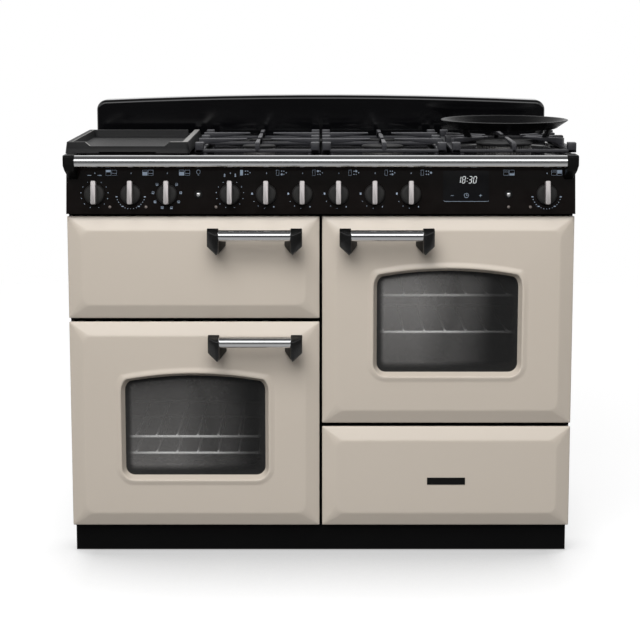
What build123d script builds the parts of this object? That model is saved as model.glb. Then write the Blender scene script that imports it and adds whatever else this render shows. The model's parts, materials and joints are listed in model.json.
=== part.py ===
from build123d import *
from math import atan2, cos, degrees, hypot, radians, sin, sqrt, tan
import os

# Range cooker, millimetres. X runs right, Y runs back, Z runs up from the floor.
# Depths ("_D") are measured back from the flat faces of the doors.

# Body
WIDTH = 1100.0
BODY_DEPTH = 600.0
BASE_Z = 60.0
SHEET = 1.5
PANEL_BOTTOM_Z = 762.0
PANEL_TOP_Z = 862.0
DECK_Z = 885.0

# Door and drawer fronts
DOOR_BOTTOM_Z = 66.0
TALL_DOOR = 458.0
SHORT_DOOR = 224.0
STACK_GAP = 8.0
CENTRE_GAP = 6.0
SIDE_REVEAL = 1.0
FRONT_T = 14.0
FIELD_BORDER = 30.0
FIELD_DROP = 11.0
FIELD_R = 20.0
EDGE_R = 2.0
FLANGE = 16.0
LINER_T = 30.0
LINER_INSET = 2.0
DOOR_SEAL_GAP = 4.0

# Oven windows
WINDOW_W = 308.0
WINDOW_H = 224.0
WINDOW_SAG = 14.5
WINDOW_R = 20.0
WINDOW_SILL = 114.0
MOULDING_W = 14.0
MOULDING_PROUD = 5.0
MOULDING_R = 4.0
GLASS_T = 4.0
GLASS_LAP = 10.0

# Hinges
HINGE_EDGE = 10.0
HINGE_FROM_BACK = 10.0
HINGE_PIN_R = 4.0
PIN_REACH = 14.0
HINGE_PLATE_T = 3.0
HINGE_PLATE_W = 16.0
HINGE_BLOCK = 24.0
PIN_FIT = 0.08

# Handles
HANDLE_INNER_X = 40.0
HANDLE_LENGTH = 204.0
HANDLE_BAR_D = 24.0
HANDLE_STANDOFF = 40.0
HANDLE_BELOW_TOP = 36.0
HANDLE_END_W = 25.0
HANDLE_END_H = 57.0
HANDLE_END_ABOVE = 15.0
HANDLE_HEAD_T = 22.0
HANDLE_TIP = 7.0
HANDLE_SHOULDER = 34.0
HANDLE_TIP_IN = 18.0
HANDLE_FOOT_W = 20.0
HANDLE_FOOT_H = 22.0
HANDLE_FOOT_IN = 11.0

# Front frame and the cavities behind it
FRAME_T = 4.0
CAVITY_W = 446.0
OVEN_H = 380.0
OVEN_DEPTH = 420.0
GRILL_H = 160.0
GRILL_DEPTH = 380.0
LINER_SHEET = 1.5
LINER_FLANGE = 20.0
SHELF_RIB = 10.0
SHELF_RIB_T = 4.0
RIB_FRONT = 20.0
RIB_BACK = 70.0
SHELF_WIRE = 6.0
SHELF_BAR = 4.0
SHELF_PITCH = 46.0
SHELF_BARS = 9
SHELF_SIDE_GAP = 2.0
SHELF_DEPTH = 350.0
LEFT_SHELVES_Z = (213.0, 251.0)
RIGHT_SHELVES_Z = (489.0, 572.0)

# Grill pan and element
PAN_ABOVE_FLOOR = 40.0
PAN_H = 34.0
PAN_DEPTH = 320.0
ELEMENT_R = 4.0
ELEMENT_PITCH = 60.0
ELEMENT_LEGS = 6
ELEMENT_DROP = 30.0
ELEMENT_FRONT = 50.0
ELEMENT_BACK = 60.0
ELEMENT_BEND_R = 18.0

# Oven fans
FAN_SHAFT_R = 4.0
FAN_SHAFT_FIT = 0.08
FAN_SHAFT_LENGTH = 30.0
FAN_R = 70.0
FAN_H = 18.0
FAN_SHEET = 1.5
FAN_HUB_R = 10.0
FAN_BLADES = 10
FAN_BLADE_L = 24.0
FAN_CLEAR = 4.0
MOTOR_R = 40.0
MOTOR_LENGTH = 45.0
COVER_W = 240.0
COVER_H = 34.0
COVER_HOLE_R = 7.0
COVER_RING_RS = (24.0, 46.0)
COVER_RING_HOLES = (8, 16)

# Drawer
DRAWER_SIDE = 33.0
DRAWER_H = 150.0
DRAWER_LENGTH = 480.0
DRAWER_FLOOR_Z = 90.0
DRAWER_SHEET = 1.2
DRAWER_OPENING_SIDE = 16.0
DRAWER_OPENING_H = 204.0
RUNNER_H = 40.0
RUNNER_Z = 130.0
RUNNER_T = 3.0
RUNNER_LENGTH = 470.0
LEDGE_GAP = 1.0
BRACKET_L = 40.0
RAIL_T = 9.0
RUNNING_GAP = 0.3

# Plinth and feet
PLINTH_SETBACK = 30.0
PLINTH_INSET = 5.0
PLINTH_FLANGE = 50.0
FLOOR_GAP = 4.0
FOOT_R = 20.0
FOOT_PAD_T = 10.0
FOOT_STEM_R = 6.0
FOOT_INSET = 60.0

# Control panel
PANEL_LEAN = 15.0
PANEL_T = 4.0
KNOB_Z = 804.0
KNOB_SPARE = 320.0
THERMOSTAT_IN = 140.0
HOB_KNOBS_X = -1.0
RIGHT_KNOB_IN = 63.0
KNOB_R = 22.5
KNOB_SKIRT_T = 10.0
KNOB_BAR_W = 11.0
KNOB_BAR_L = 54.0
KNOB_BAR_T = 18.0
KNOB_EDGE_R = 3.0
KNOB_SKIRT_R = 2.0
SPINDLE_R = 3.0
SPINDLE_LENGTH = 24.0
SPINDLE_FIT = 0.06
SPINDLE_END_GAP = 1.0
SPINDLE_CLEAR = 1.0
LEFT_BUTTON_GAP = 68.0
RIGHT_BUTTON_GAP = 82.0
BUTTON_R = 5.0
BUTTON_PROUD = 3.0
BUTTON_FIT = 0.1
BUTTON_COLLAR = 2.0
CLOCK_FROM_KNOB = 173.5
CLOCK_W = 99.0
CLOCK_H = 66.0
CLOCK_Z = 821.5
CLOCK_T = 2.0
TAP_R = 14.0
TAP_LENGTH = 24.0
TAP_SETBACK = 14.0
TAP_LAP = 3.0
GAS_RAIL_R = 8.0
GAS_PIPE_IN = 25.0
RAIL_LEG_W = 12.0
RAIL_LEG_T = 8.0
INLET_R = 14.0
INLET_BORE_R = 9.3
INLET_LENGTH = 24.0
INLET_BORE_L = 18.0
INLET_FIT = 0.2
CABLE_HOLE_R = 10.0
CABLE_HOLE_IN = 70.0
CABLE_HOLE_Z = 130.0

# Hand rail
RAIL_R = 13.0
RAIL_WALL = 2.0
RAIL_Z = 878.0
RAIL_REACH = 25.0
RAIL_END_W = 25.0
RAIL_END_TOP = 892.0
RAIL_END_BOTTOM = 838.0
RAIL_END_WAIST_Z = 868.0
RAIL_END_TIP_W = 19.0
RAIL_END_TIP_T = 8.0

# Hob
HOB_DECK_T = 4.5
HOB_SKIRT_T = 2.5
HOB_RIM_W = 10.0
HOB_RIM_H = 3.0
WELL_DEPTH = 3.0
WELL_R = 82.0
WOK_WELL_IN = 13.0
HOB_SPARE = 20.0
SIDE_OVERHANG = 5.0
BURNER_D = 258.0
BURNER_PITCH = 178.0
BURNER_RS = (34.0, 26.0, 44.0, 34.0)
WOK_BURNER_R = 62.0
BURNER_H = 10.0
BURNER_LIP = 9.0
BURNER_FIT = 0.2
BURNER_DROP = 30.0
CAP_T = 6.0
CAP_LAP = 3.0
HOTPLATE_R = 95.0
HOTPLATE_T = 3.0

# Grates, griddle and wok cradle
GRATE_GAP = 6.0
GRATE_FRONT_D = 44.0
GRATE_BACK_D = 446.0
GRATE_LOW_Z = 891.0
GRATE_LOW_H = 7.0
GRATE_TOP_Z = 913.0
GRATE_BAR = 12.0
GRATE_RAIL = 19.0
GRATE_LUG = 20.0
GRATE_PAD_R = 5.0
GRATE_PAD_IN = 22.0
FINGER_W = 10.0
FINGER_TIP_H = 8.0
FINGER_ROOT = 26.0
FINGER_GAP = 27.0
WOK_FINGER_GAP = 50.0
LIFT_GAP = 0.3
GRIDDLE_FRONT_D = 40.0
GRIDDLE_BACK_D = 428.0
GRIDDLE_BASE_Z = 889.0
GRIDDLE_TOP_Z = 914.0
GRIDDLE_FLOOR_T = 8.0
GRIDDLE_RIM_W = 13.0
GRIDDLE_DRAFT = 3.0
GRIDDLE_NOTCH_W = 162.0
GRIDDLE_NOTCH_H = 9.0
GRIDDLE_NOTCH_SLOPE = 40.0
GRIDDLE_CORNER_R = 8.0
GRIDDLE_SLOT_W = 124.0
GRIDDLE_SLOT_H = 4.0
GRIDDLE_SPOUT_W = 14.0
GRIDDLE_PAD = 20.0
GRIDDLE_PAD_IN = 40.0
CRADLE_R = 145.0
CRADLE_TOP_Z = 950.0
CRADLE_BAND_H = 20.0
CRADLE_T = 7.0
CRADLE_TAPER = 26.0
CRADLE_FOOT_R = 104.0
CRADLE_LEG_W = 16.0
CRADLE_LEG_LAP = 6.0
CRADLE_FOOT_W = 12.0

# Backguard
GUARD_T = 58.0
GUARD_END_Z = 977.0
GUARD_CROWN_Z = 990.0
GUARD_CORNER_R = 24.0
GUARD_EDGE_R = 9.0
GUARD_WALL = 3.0
GUARD_HEAD_WALL = 1.0

# Sizes worked out from those above
FRONT_REACH = HANDLE_STANDOFF + HANDLE_BAR_D / 2
FRONT_Y = (FRONT_REACH - BODY_DEPTH) / 2
HALF = WIDTH / 2
DOOR_W = HALF - SIDE_REVEAL - CENTRE_GAP / 2
COLUMN_X = CENTRE_GAP / 2 + DOOR_W / 2
DOOR_TOP_Z = DOOR_BOTTOM_Z + TALL_DOOR + STACK_GAP + SHORT_DOOR
UPPER_LEFT_Z = DOOR_BOTTOM_Z + TALL_DOOR + STACK_GAP
UPPER_RIGHT_Z = DOOR_BOTTOM_Z + SHORT_DOOR + STACK_GAP
DOOR_T = FRONT_T + LINER_T
FRAME_D = DOOR_T + DOOR_SEAL_GAP
FRAME_BACK_D = FRAME_D + FRAME_T
HINGE_D = DOOR_T - HINGE_FROM_BACK
HINGE_X = HALF - SIDE_REVEAL - HINGE_EDGE
REAR_D = BODY_DEPTH - SHEET
GUARD_FRONT_D = BODY_DEPTH - GUARD_T
DRAWER_W = DOOR_W - 2 * DRAWER_SIDE
DRAWER_OPENING_W = DRAWER_W + 2 * DRAWER_OPENING_SIDE
LEFT_OVEN_Z = DOOR_BOTTOM_Z + (TALL_DOOR - OVEN_H) / 2
RIGHT_OVEN_Z = UPPER_RIGHT_Z + (TALL_DOOR - OVEN_H) / 2
GRILL_Z = UPPER_LEFT_Z + (SHORT_DOOR - GRILL_H) / 2
PANEL_H = PANEL_TOP_Z - PANEL_BOTTOM_Z
LEAN_ANGLE = degrees(atan2(PANEL_LEAN, PANEL_H))
KNOB_PITCH = (WIDTH - KNOB_SPARE) / 10
THERMOSTAT_X = THERMOSTAT_IN - HALF
RIGHT_KNOB_X = HALF - RIGHT_KNOB_IN
HOB_KNOB_XS = [HOB_KNOBS_X + KNOB_PITCH * (i - 2.5) for i in range(6)]
THERMOSTAT_XS = [THERMOSTAT_X + KNOB_PITCH * (i - 1) for i in range(3)]
KNOB_XS = THERMOSTAT_XS + HOB_KNOB_XS + [RIGHT_KNOB_X]
BUTTON_XS = (THERMOSTAT_XS[-1] + LEFT_BUTTON_GAP, RIGHT_KNOB_X - RIGHT_BUTTON_GAP)
CLOCK_X = RIGHT_KNOB_X - CLOCK_FROM_KNOB
GAS_PIPE_X = HALF - GAS_PIPE_IN
CABLE_HOLE_X = CABLE_HOLE_IN - HALF
RAIL_HALF = HALF - RAIL_END_W
GRATE_W = (WIDTH - HOB_SPARE) / 4
GRIDDLE_W = GRATE_W
ZONE_X = (GRATE_W + GRATE_GAP) / 2
SIDE_ZONE_X = HALF + SIDE_OVERHANG - GRATE_W / 2
WOK_WELL_R = GRATE_W / 2 - WOK_WELL_IN
BURNER_DS = (BURNER_D - BURNER_PITCH / 2, BURNER_D + BURNER_PITCH / 2)

os.makedirs("parts", exist_ok=True)


def save(piece, label):
    """Label a finished piece and write it to its own file."""
    piece.label = label
    export_step(piece, f"parts/{label}.step")


def block(x0, x1, d0, d1, z0, z1, mode=Mode.ADD):
    """Rectangular block between two widths, two depths and two heights."""
    with Locations(((x0 + x1) / 2, FRONT_Y + (d0 + d1) / 2, (z0 + z1) / 2)):
        Box(x1 - x0, d1 - d0, z1 - z0, mode=mode)


def post(x, d, z0, z1, radius, mode=Mode.ADD):
    """Upright round post."""
    with Locations((x, FRONT_Y + d, (z0 + z1) / 2)):
        Cylinder(radius, z1 - z0, mode=mode)


def rod(x0, x1, d, z, radius, mode=Mode.ADD):
    """Round rod lying across the cooker."""
    with Locations(((x0 + x1) / 2, FRONT_Y + d, z)):
        Cylinder(radius, x1 - x0, rotation=(0, 90, 0), mode=mode)


def spigot(x, d0, d1, z, radius, mode=Mode.ADD):
    """Round rod lying from front to back."""
    with Locations((x, FRONT_Y + (d0 + d1) / 2, z)):
        Cylinder(radius, d1 - d0, rotation=(90, 0, 0), mode=mode)


def upright(x, d, z):
    """Plane facing the front of the cooker at a given depth."""
    return Plane(origin=(x, FRONT_Y + d, z), x_dir=(1, 0, 0), z_dir=(0, -1, 0))


def panel_plane(x, z):
    """Plane on the leaning face of the control panel."""
    d = PANEL_LEAN * (z - PANEL_BOTTOM_Z) / PANEL_H
    lean = radians(LEAN_ANGLE)
    return Plane(origin=(x, FRONT_Y + d, z), x_dir=(1, 0, 0), z_dir=(0, -cos(lean), sin(lean)))


# Base with the centre partition welded to it
with BuildPart() as chassis:
    block(-HALF + SHEET, HALF - SHEET, FRAME_BACK_D, REAR_D, BASE_Z, BASE_Z + SHEET)
    block(-SHEET / 2, SHEET / 2, FRAME_BACK_D, REAR_D, BASE_Z + SHEET, DOOR_TOP_Z)
save(chassis.part, "chassis")

with BuildPart() as side_panels:
    for side in (-1, 1):
        x = side * (HALF - SHEET / 2)
        block(x - SHEET / 2, x + SHEET / 2, FRAME_BACK_D, BODY_DEPTH, BASE_Z, PANEL_TOP_Z)
save(side_panels.part, "side_panels")

# The gas pipe leaves the rail behind the taps and runs straight back to the inlet
TAP_BACK = TAP_SETBACK + TAP_LENGTH
RAIL_BACK = TAP_BACK + GAS_RAIL_R - TAP_LAP
LEAN = radians(LEAN_ANGLE)
GAS_RAIL_D = PANEL_LEAN * (KNOB_Z - PANEL_BOTTOM_Z) / PANEL_H + RAIL_BACK * cos(LEAN)
GAS_RAIL_Z = KNOB_Z - RAIL_BACK * sin(LEAN)

with BuildPart() as rear_panel:
    block(-HALF + SHEET, HALF - SHEET, REAR_D, BODY_DEPTH, BASE_Z, PANEL_TOP_Z)
    spigot(GAS_PIPE_X, REAR_D, BODY_DEPTH, GAS_RAIL_Z, INLET_R + INLET_FIT, Mode.SUBTRACT)
    spigot(CABLE_HOLE_X, REAR_D, BODY_DEPTH, CABLE_HOLE_Z, CABLE_HOLE_R, Mode.SUBTRACT)
save(rear_panel.part, "rear_panel")

# Front frame: the black plate seen in the gaps, with the hinge plates and pins welded on
DRAWER_OPENING_Z = DOOR_BOTTOM_Z + (SHORT_DOOR - DRAWER_OPENING_H) / 2
BOTTOM_HINGE_Z = (BASE_Z + DOOR_BOTTOM_Z) / 2
TOP_HINGE_Z = (DOOR_TOP_Z + PANEL_BOTTOM_Z) / 2
LEFT_HINGE_Z = UPPER_LEFT_Z - STACK_GAP / 2
RIGHT_HINGE_Z = UPPER_RIGHT_Z - STACK_GAP / 2


def hinge(x, z, up, down):
    """Hinge plate in a gap between doors, with a pin for the door above, below or both."""
    reach = HINGE_PLATE_T / 2 + PIN_REACH
    half = HINGE_PLATE_W / 2
    block(x - half, x + half, HINGE_D - half, FRAME_D, z - HINGE_PLATE_T / 2, z + HINGE_PLATE_T / 2)
    post(x, HINGE_D, z - reach * down, z + reach * up, HINGE_PIN_R)


with BuildPart() as front_frame:
    block(-HALF, HALF, FRAME_D, FRAME_BACK_D, BASE_Z, PANEL_BOTTOM_Z)
    for x, width, z, height in (
        (-COLUMN_X, CAVITY_W, LEFT_OVEN_Z, OVEN_H),
        (-COLUMN_X, CAVITY_W, GRILL_Z, GRILL_H),
        (COLUMN_X, CAVITY_W, RIGHT_OVEN_Z, OVEN_H),
        (COLUMN_X, DRAWER_OPENING_W, DRAWER_OPENING_Z, DRAWER_OPENING_H),
    ):
        block(x - width / 2, x + width / 2, FRAME_D, FRAME_BACK_D, z, z + height, Mode.SUBTRACT)
    hinge(-HINGE_X, BOTTOM_HINGE_Z, 1, 0)
    hinge(-HINGE_X, LEFT_HINGE_Z, 1, 1)
    hinge(-HINGE_X, TOP_HINGE_Z, 0, 1)
    hinge(HINGE_X, RIGHT_HINGE_Z, 1, 0)
    hinge(HINGE_X, TOP_HINGE_Z, 0, 1)
save(front_frame.part, "front_frame")

# Plinth: kick plate with a flange under the base
with BuildPart() as plinth:
    edge = HALF - PLINTH_INSET
    block(-edge, edge, PLINTH_SETBACK, PLINTH_SETBACK + SHEET, FLOOR_GAP, BASE_Z)
    block(-edge, edge, PLINTH_SETBACK, PLINTH_SETBACK + PLINTH_FLANGE, BASE_Z - SHEET, BASE_Z)
save(plinth.part, "plinth")

with BuildPart() as levelling_feet:
    for x in (-HALF + FOOT_INSET, HALF - FOOT_INSET):
        for d in (FRAME_BACK_D + FOOT_INSET, BODY_DEPTH - FOOT_INSET):
            post(x, d, 0, FOOT_PAD_T, FOOT_R)
            post(x, d, FOOT_PAD_T, BASE_Z, FOOT_STEM_R)
save(levelling_feet.part, "levelling_feet")

# Oven and grill liners: enamelled boxes flanged to the back of the frame


def cavity_liner(x_mid, z0, height, depth, rib_tops, fan):
    """Open-fronted box with shelf ribs on its sides and, in an oven, a hole for the fan shaft."""
    x0 = x_mid - CAVITY_W / 2
    x1 = x_mid + CAVITY_W / 2
    z1 = z0 + height
    back = FRAME_BACK_D + depth
    skin = LINER_SHEET
    lip = LINER_FLANGE
    with BuildPart() as liner:
        block(x0 - skin, x1 + skin, FRAME_BACK_D, back + skin, z0 - skin, z1 + skin)
        block(x0 - lip, x1 + lip, FRAME_BACK_D, FRAME_BACK_D + skin, z0 - lip, z1 + lip)
        block(x0, x1, FRAME_BACK_D, back, z0, z1, Mode.SUBTRACT)
        for top in rib_tops:
            for inner, outer in ((x0, x0 + SHELF_RIB), (x1 - SHELF_RIB, x1)):
                block(inner, outer, FRAME_BACK_D + RIB_FRONT, back - RIB_BACK, top - SHELF_RIB_T, top)
        if fan:
            hole = FAN_SHAFT_R + FAN_SHAFT_FIT
            spigot(x_mid, back, back + skin, z0 + height / 2, hole, Mode.SUBTRACT)
    return liner.part


GRILL_PAN_Z = GRILL_Z + PAN_ABOVE_FLOOR
LEFT_RIBS = [z - SHELF_WIRE / 2 for z in LEFT_SHELVES_Z]
RIGHT_RIBS = [z - SHELF_WIRE / 2 for z in RIGHT_SHELVES_Z]
save(cavity_liner(-COLUMN_X, GRILL_Z, GRILL_H, GRILL_DEPTH, [GRILL_PAN_Z], False), "grill_liner")
save(cavity_liner(-COLUMN_X, LEFT_OVEN_Z, OVEN_H, OVEN_DEPTH, LEFT_RIBS, True), "left_oven_liner")
save(cavity_liner(COLUMN_X, RIGHT_OVEN_Z, OVEN_H, OVEN_DEPTH, RIGHT_RIBS, True), "right_oven_liner")

# Oven shelves: wire grids resting on the ribs
SHELF_W = CAVITY_W - 2 * SHELF_SIDE_GAP
SHELF_FRONT_D = FRAME_BACK_D + RIB_FRONT


def oven_shelf(x_mid, z):
    """One wire shelf: a frame of thick wire filled with thinner bars."""
    thick = SHELF_WIRE / 2
    reach = SHELF_W / 2 - thick
    front = SHELF_FRONT_D + thick
    back = SHELF_FRONT_D + SHELF_DEPTH - thick
    with BuildPart() as shelf:
        for d in (front, back):
            rod(x_mid - reach - thick, x_mid + reach + thick, d, z, thick)
        for x in (x_mid - reach, x_mid + reach):
            spigot(x, front - thick, back + thick, z, thick)
        for i in range(SHELF_BARS):
            x = x_mid + SHELF_PITCH * (i - (SHELF_BARS - 1) / 2)
            spigot(x, front, back, z, SHELF_BAR / 2)
    return shelf.part


with BuildPart() as oven_shelves:
    for z in LEFT_SHELVES_Z:
        add(oven_shelf(-COLUMN_X, z))
    for z in RIGHT_SHELVES_Z:
        add(oven_shelf(COLUMN_X, z))
save(oven_shelves.part, "oven_shelves")

# Grill pan on its ribs, and the electric element looping under the roof
with BuildPart() as grill_pan:
    x0 = -COLUMN_X - SHELF_W / 2
    x1 = -COLUMN_X + SHELF_W / 2
    front = FRAME_BACK_D + RIB_FRONT / 2
    block(x0, x1, front, front + PAN_DEPTH, GRILL_PAN_Z, GRILL_PAN_Z + PAN_H)
    block(
        x0 + SHEET, x1 - SHEET, front + SHEET, front + PAN_DEPTH - SHEET,
        GRILL_PAN_Z + SHEET, GRILL_PAN_Z + PAN_H, Mode.SUBTRACT,
    )
save(grill_pan.part, "grill_pan")

element_z = GRILL_Z + GRILL_H - ELEMENT_DROP
grill_back_d = FRAME_BACK_D + GRILL_DEPTH
element_points = []
for leg in range(ELEMENT_LEGS):
    x = -COLUMN_X + ELEMENT_PITCH * (leg - (ELEMENT_LEGS - 1) / 2)
    far = grill_back_d if leg in (0, ELEMENT_LEGS - 1) else grill_back_d - ELEMENT_BACK
    ends = [(x, FRONT_Y + far, element_z), (x, FRONT_Y + FRAME_BACK_D + ELEMENT_FRONT, element_z)]
    element_points += ends if leg % 2 == 0 else ends[::-1]
with BuildPart() as grill_element:
    with BuildLine() as element_path:
        FilletPolyline(*element_points, radius=ELEMENT_BEND_R)
    with BuildSketch(Plane(origin=element_points[0], z_dir=(0, -1, 0))):
        Circle(ELEMENT_R)
    sweep(path=element_path.wire())
save(grill_element.part, "grill_element")

# Oven fans on their motor shafts, with a vented cover in front
OVEN_BACK_D = FRAME_BACK_D + OVEN_DEPTH
FAN_D = OVEN_BACK_D - FAN_CLEAR
FAN_CENTRES = ((-COLUMN_X, LEFT_OVEN_Z + OVEN_H / 2), (COLUMN_X, RIGHT_OVEN_Z + OVEN_H / 2))
ON_FACE = (Align.CENTER, Align.CENTER, Align.MIN)
BEHIND_FACE = (Align.CENTER, Align.CENTER, Align.MAX)


def oven_fan(x, z):
    """Fan wheel with straight blades, fixed to its shaft."""
    with BuildPart(upright(x, FAN_D, z)) as fan:
        Cylinder(FAN_R, FAN_SHEET, align=ON_FACE)
        Cylinder(FAN_HUB_R, FAN_H, align=ON_FACE)
        with PolarLocations(FAN_R - FAN_BLADE_L / 2, FAN_BLADES):
            Box(FAN_BLADE_L, FAN_SHEET, FAN_H, align=ON_FACE)
        Cylinder(FAN_SHAFT_R, FAN_CLEAR + FAN_SHAFT_LENGTH, align=BEHIND_FACE)
    return fan.part


def fan_motor(x, z):
    """Motor bolted to the back of the liner, bored for the fan shaft."""
    face_d = OVEN_BACK_D + LINER_SHEET
    with BuildPart(upright(x, face_d, z)) as motor:
        Cylinder(MOTOR_R, MOTOR_LENGTH, align=BEHIND_FACE)
        Cylinder(FAN_SHAFT_R + FAN_SHAFT_FIT, FAN_SHAFT_LENGTH, align=BEHIND_FACE, mode=Mode.SUBTRACT)
    return motor.part


def fan_cover(x, z):
    """Pressed cover over the fan, with rings of holes."""
    with BuildPart(upright(x, OVEN_BACK_D, z)) as cover:
        Box(COVER_W, COVER_W, COVER_H, align=ON_FACE)
        Box(COVER_W - 2 * SHEET, COVER_W - 2 * SHEET, COVER_H - SHEET, align=ON_FACE, mode=Mode.SUBTRACT)
        for radius, count in zip(COVER_RING_RS, COVER_RING_HOLES):
            with PolarLocations(radius, count):
                Cylinder(COVER_HOLE_R, COVER_H, align=ON_FACE, mode=Mode.SUBTRACT)
    return cover.part


with BuildPart() as fan_motors:
    for x, z in FAN_CENTRES:
        add(fan_motor(x, z))
save(fan_motors.part, "fan_motors")

with BuildPart() as fan_covers:
    for x, z in FAN_CENTRES:
        add(fan_cover(x, z))
save(fan_covers.part, "fan_covers")

for name, (x, z) in zip(("left_oven_fan", "right_oven_fan"), FAN_CENTRES):
    save(oven_fan(x, z), name)

# Drawer runners: channels on the partition and the right side panel
RUNNER_FRONT_D = FRAME_BACK_D + FRAME_T
RAIL_HALF_W = DRAWER_W / 2 + RAIL_T
RUNNER_FACE = RAIL_HALF_W + RUNNING_GAP


def drawer_runner(side, wall_x):
    """Channel that holds the drawer's rail, on two brackets from the wall beside it."""
    near = COLUMN_X + side * (DRAWER_W / 2 + LEDGE_GAP)
    face = COLUMN_X + side * RUNNER_FACE
    outer = COLUMN_X + side * (RUNNER_FACE + RUNNER_T)
    top = RUNNER_Z + RUNNER_H
    back = RUNNER_FRONT_D + RUNNER_LENGTH
    with BuildPart() as runner:
        block(*sorted((near, outer)), RUNNER_FRONT_D, back, RUNNER_Z, top)
        block(
            *sorted((near, face)), RUNNER_FRONT_D, back, RUNNER_Z + RUNNER_T, top - RUNNER_T, Mode.SUBTRACT
        )
        for d in (RUNNER_FRONT_D + BRACKET_L, back - 2 * BRACKET_L):
            block(*sorted((outer, wall_x)), d, d + BRACKET_L, RUNNER_Z, top)
    return runner.part


with BuildPart() as drawer_runners:
    add(drawer_runner(-1, SHEET / 2))
    add(drawer_runner(1, HALF - SHEET))
save(drawer_runners.part, "drawer_runners")

# Drawer box: open tray with side rails and a shallow pan that backs the drawer front
with BuildPart() as drawer_box:
    x0 = COLUMN_X - DRAWER_W / 2
    x1 = COLUMN_X + DRAWER_W / 2
    back = FRONT_T + DRAWER_LENGTH
    top = DRAWER_FLOOR_Z + DRAWER_H
    wall = DRAWER_SHEET
    plate = DOOR_W / 2 - LINER_INSET
    plate_low = DOOR_BOTTOM_Z + LINER_INSET
    plate_high = DOOR_BOTTOM_Z + SHORT_DOOR - LINER_INSET
    block(COLUMN_X - plate, COLUMN_X + plate, FRONT_T, DOOR_T, plate_low, plate_high)
    block(
        COLUMN_X - plate + wall, COLUMN_X + plate - wall, FRONT_T + wall, DOOR_T,
        plate_low + wall, plate_high - wall, Mode.SUBTRACT,
    )
    block(x0, x1, FRONT_T, back, DRAWER_FLOOR_Z, top)
    block(x0 + wall, x1 - wall, FRONT_T + wall, back - wall, DRAWER_FLOOR_Z + wall, top, Mode.SUBTRACT)
    low = RUNNER_Z + RUNNER_T + RUNNING_GAP
    high = RUNNER_Z + RUNNER_H - RUNNER_T - RUNNING_GAP
    for inner, outer in ((x0 - RAIL_T, x0), (x1, x1 + RAIL_T)):
        block(inner, outer, FRAME_BACK_D + BRACKET_L / 2, back, low, high)
save(drawer_box.part, "drawer_box")

# Door and drawer fronts: pressed steel, a flat field with a sloping border and returned flanges


def front_outline(x_mid, z_mid, width, height, radius, d):
    """Upright rounded rectangle at a given depth."""
    with BuildSketch(upright(x_mid, d, z_mid)) as outline:
        RectangleRounded(width, height, radius)
    return outline.sketch


def window_outline(x_mid, sill_z, grow, d):
    """Oven window with an arched head, grown outwards by a margin."""
    half = WINDOW_W / 2
    arch_r = (half**2 + WINDOW_SAG**2) / (2 * WINDOW_SAG)
    shoulder = WINDOW_H - arch_r + sqrt((arch_r + grow) ** 2 - (half + grow) ** 2)
    edge = half + grow
    with BuildSketch(upright(x_mid, d, sill_z)) as outline:
        with BuildLine():
            Polyline((-edge, shoulder), (-edge, -grow), (edge, -grow), (edge, shoulder))
            ThreePointArc((edge, shoulder), (0, WINDOW_H + grow), (-edge, shoulder))
        make_face()
        fillet(outline.vertices(), WINDOW_R + grow)
    return outline.sketch


def door_front(x_mid, z0, height, window):
    """Pressed front with its border and flange, and a moulding round the window if it has one."""
    z_mid = z0 + height / 2
    field_w = DOOR_W - 2 * FIELD_BORDER
    field_h = height - 2 * FIELD_BORDER
    flange_d = FRONT_T - SHEET
    edge = front_outline(x_mid, z_mid, DOOR_W, height, EDGE_R, FIELD_DROP)
    field = front_outline(x_mid, z_mid, field_w, field_h, FIELD_R, 0)
    inner_edge = front_outline(x_mid, z_mid, DOOR_W - 2 * SHEET, height - 2 * SHEET, EDGE_R, flange_d)
    inner_field = front_outline(x_mid, z_mid, field_w, field_h, FIELD_R, SHEET)
    mouth = front_outline(x_mid, z_mid, DOOR_W - 2 * FLANGE, height - 2 * FLANGE, EDGE_R, FRONT_T)
    with BuildPart() as front:
        loft([field, edge], ruled=True)
        extrude(edge, -(FRONT_T - FIELD_DROP))
        loft([inner_field, inner_edge], ruled=True, mode=Mode.SUBTRACT)
        extrude(mouth, SHEET, mode=Mode.SUBTRACT)
        if window:
            depth = FRONT_T + MOULDING_PROUD
            extrude(window_outline(x_mid, z0 + WINDOW_SILL, MOULDING_W, FRONT_T), depth)
            extrude(window_outline(x_mid, z0 + WINDOW_SILL, 0, FRONT_T), depth, mode=Mode.SUBTRACT)
            fillet(front.edges().group_by(Axis.Y)[0], MOULDING_R)
    return front.part


def door_liner(x_mid, z0, height, hinge_x, window):
    """Inner door pan with bored blocks for the hinge pins and an opening behind the window."""
    half = DOOR_W / 2 - LINER_INSET
    low = z0 + LINER_INSET
    high = z0 + height - LINER_INSET
    inner = half - SHEET
    outward = 1 if hinge_x > x_mid else -1
    edge = x_mid + outward * half
    with BuildPart() as liner:
        block(x_mid - half, x_mid + half, FRONT_T, DOOR_T, low, high)
        block(
            x_mid - inner, x_mid + inner, FRONT_T, DOOR_T - SHEET,
            low + SHEET, high - SHEET, Mode.SUBTRACT,
        )
        for z_a, z_b in ((low, low + HINGE_BLOCK), (high - HINGE_BLOCK, high)):
            across = sorted((edge, edge - outward * HINGE_BLOCK))
            block(*across, HINGE_D - HINGE_BLOCK / 2, DOOR_T, z_a, z_b)
            post(hinge_x, HINGE_D, z_a, z_b, HINGE_PIN_R + PIN_FIT, Mode.SUBTRACT)
        if window:
            extrude(window_outline(x_mid, z0 + WINDOW_SILL, 0, DOOR_T), SHEET, mode=Mode.SUBTRACT)
    return liner.part


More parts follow.
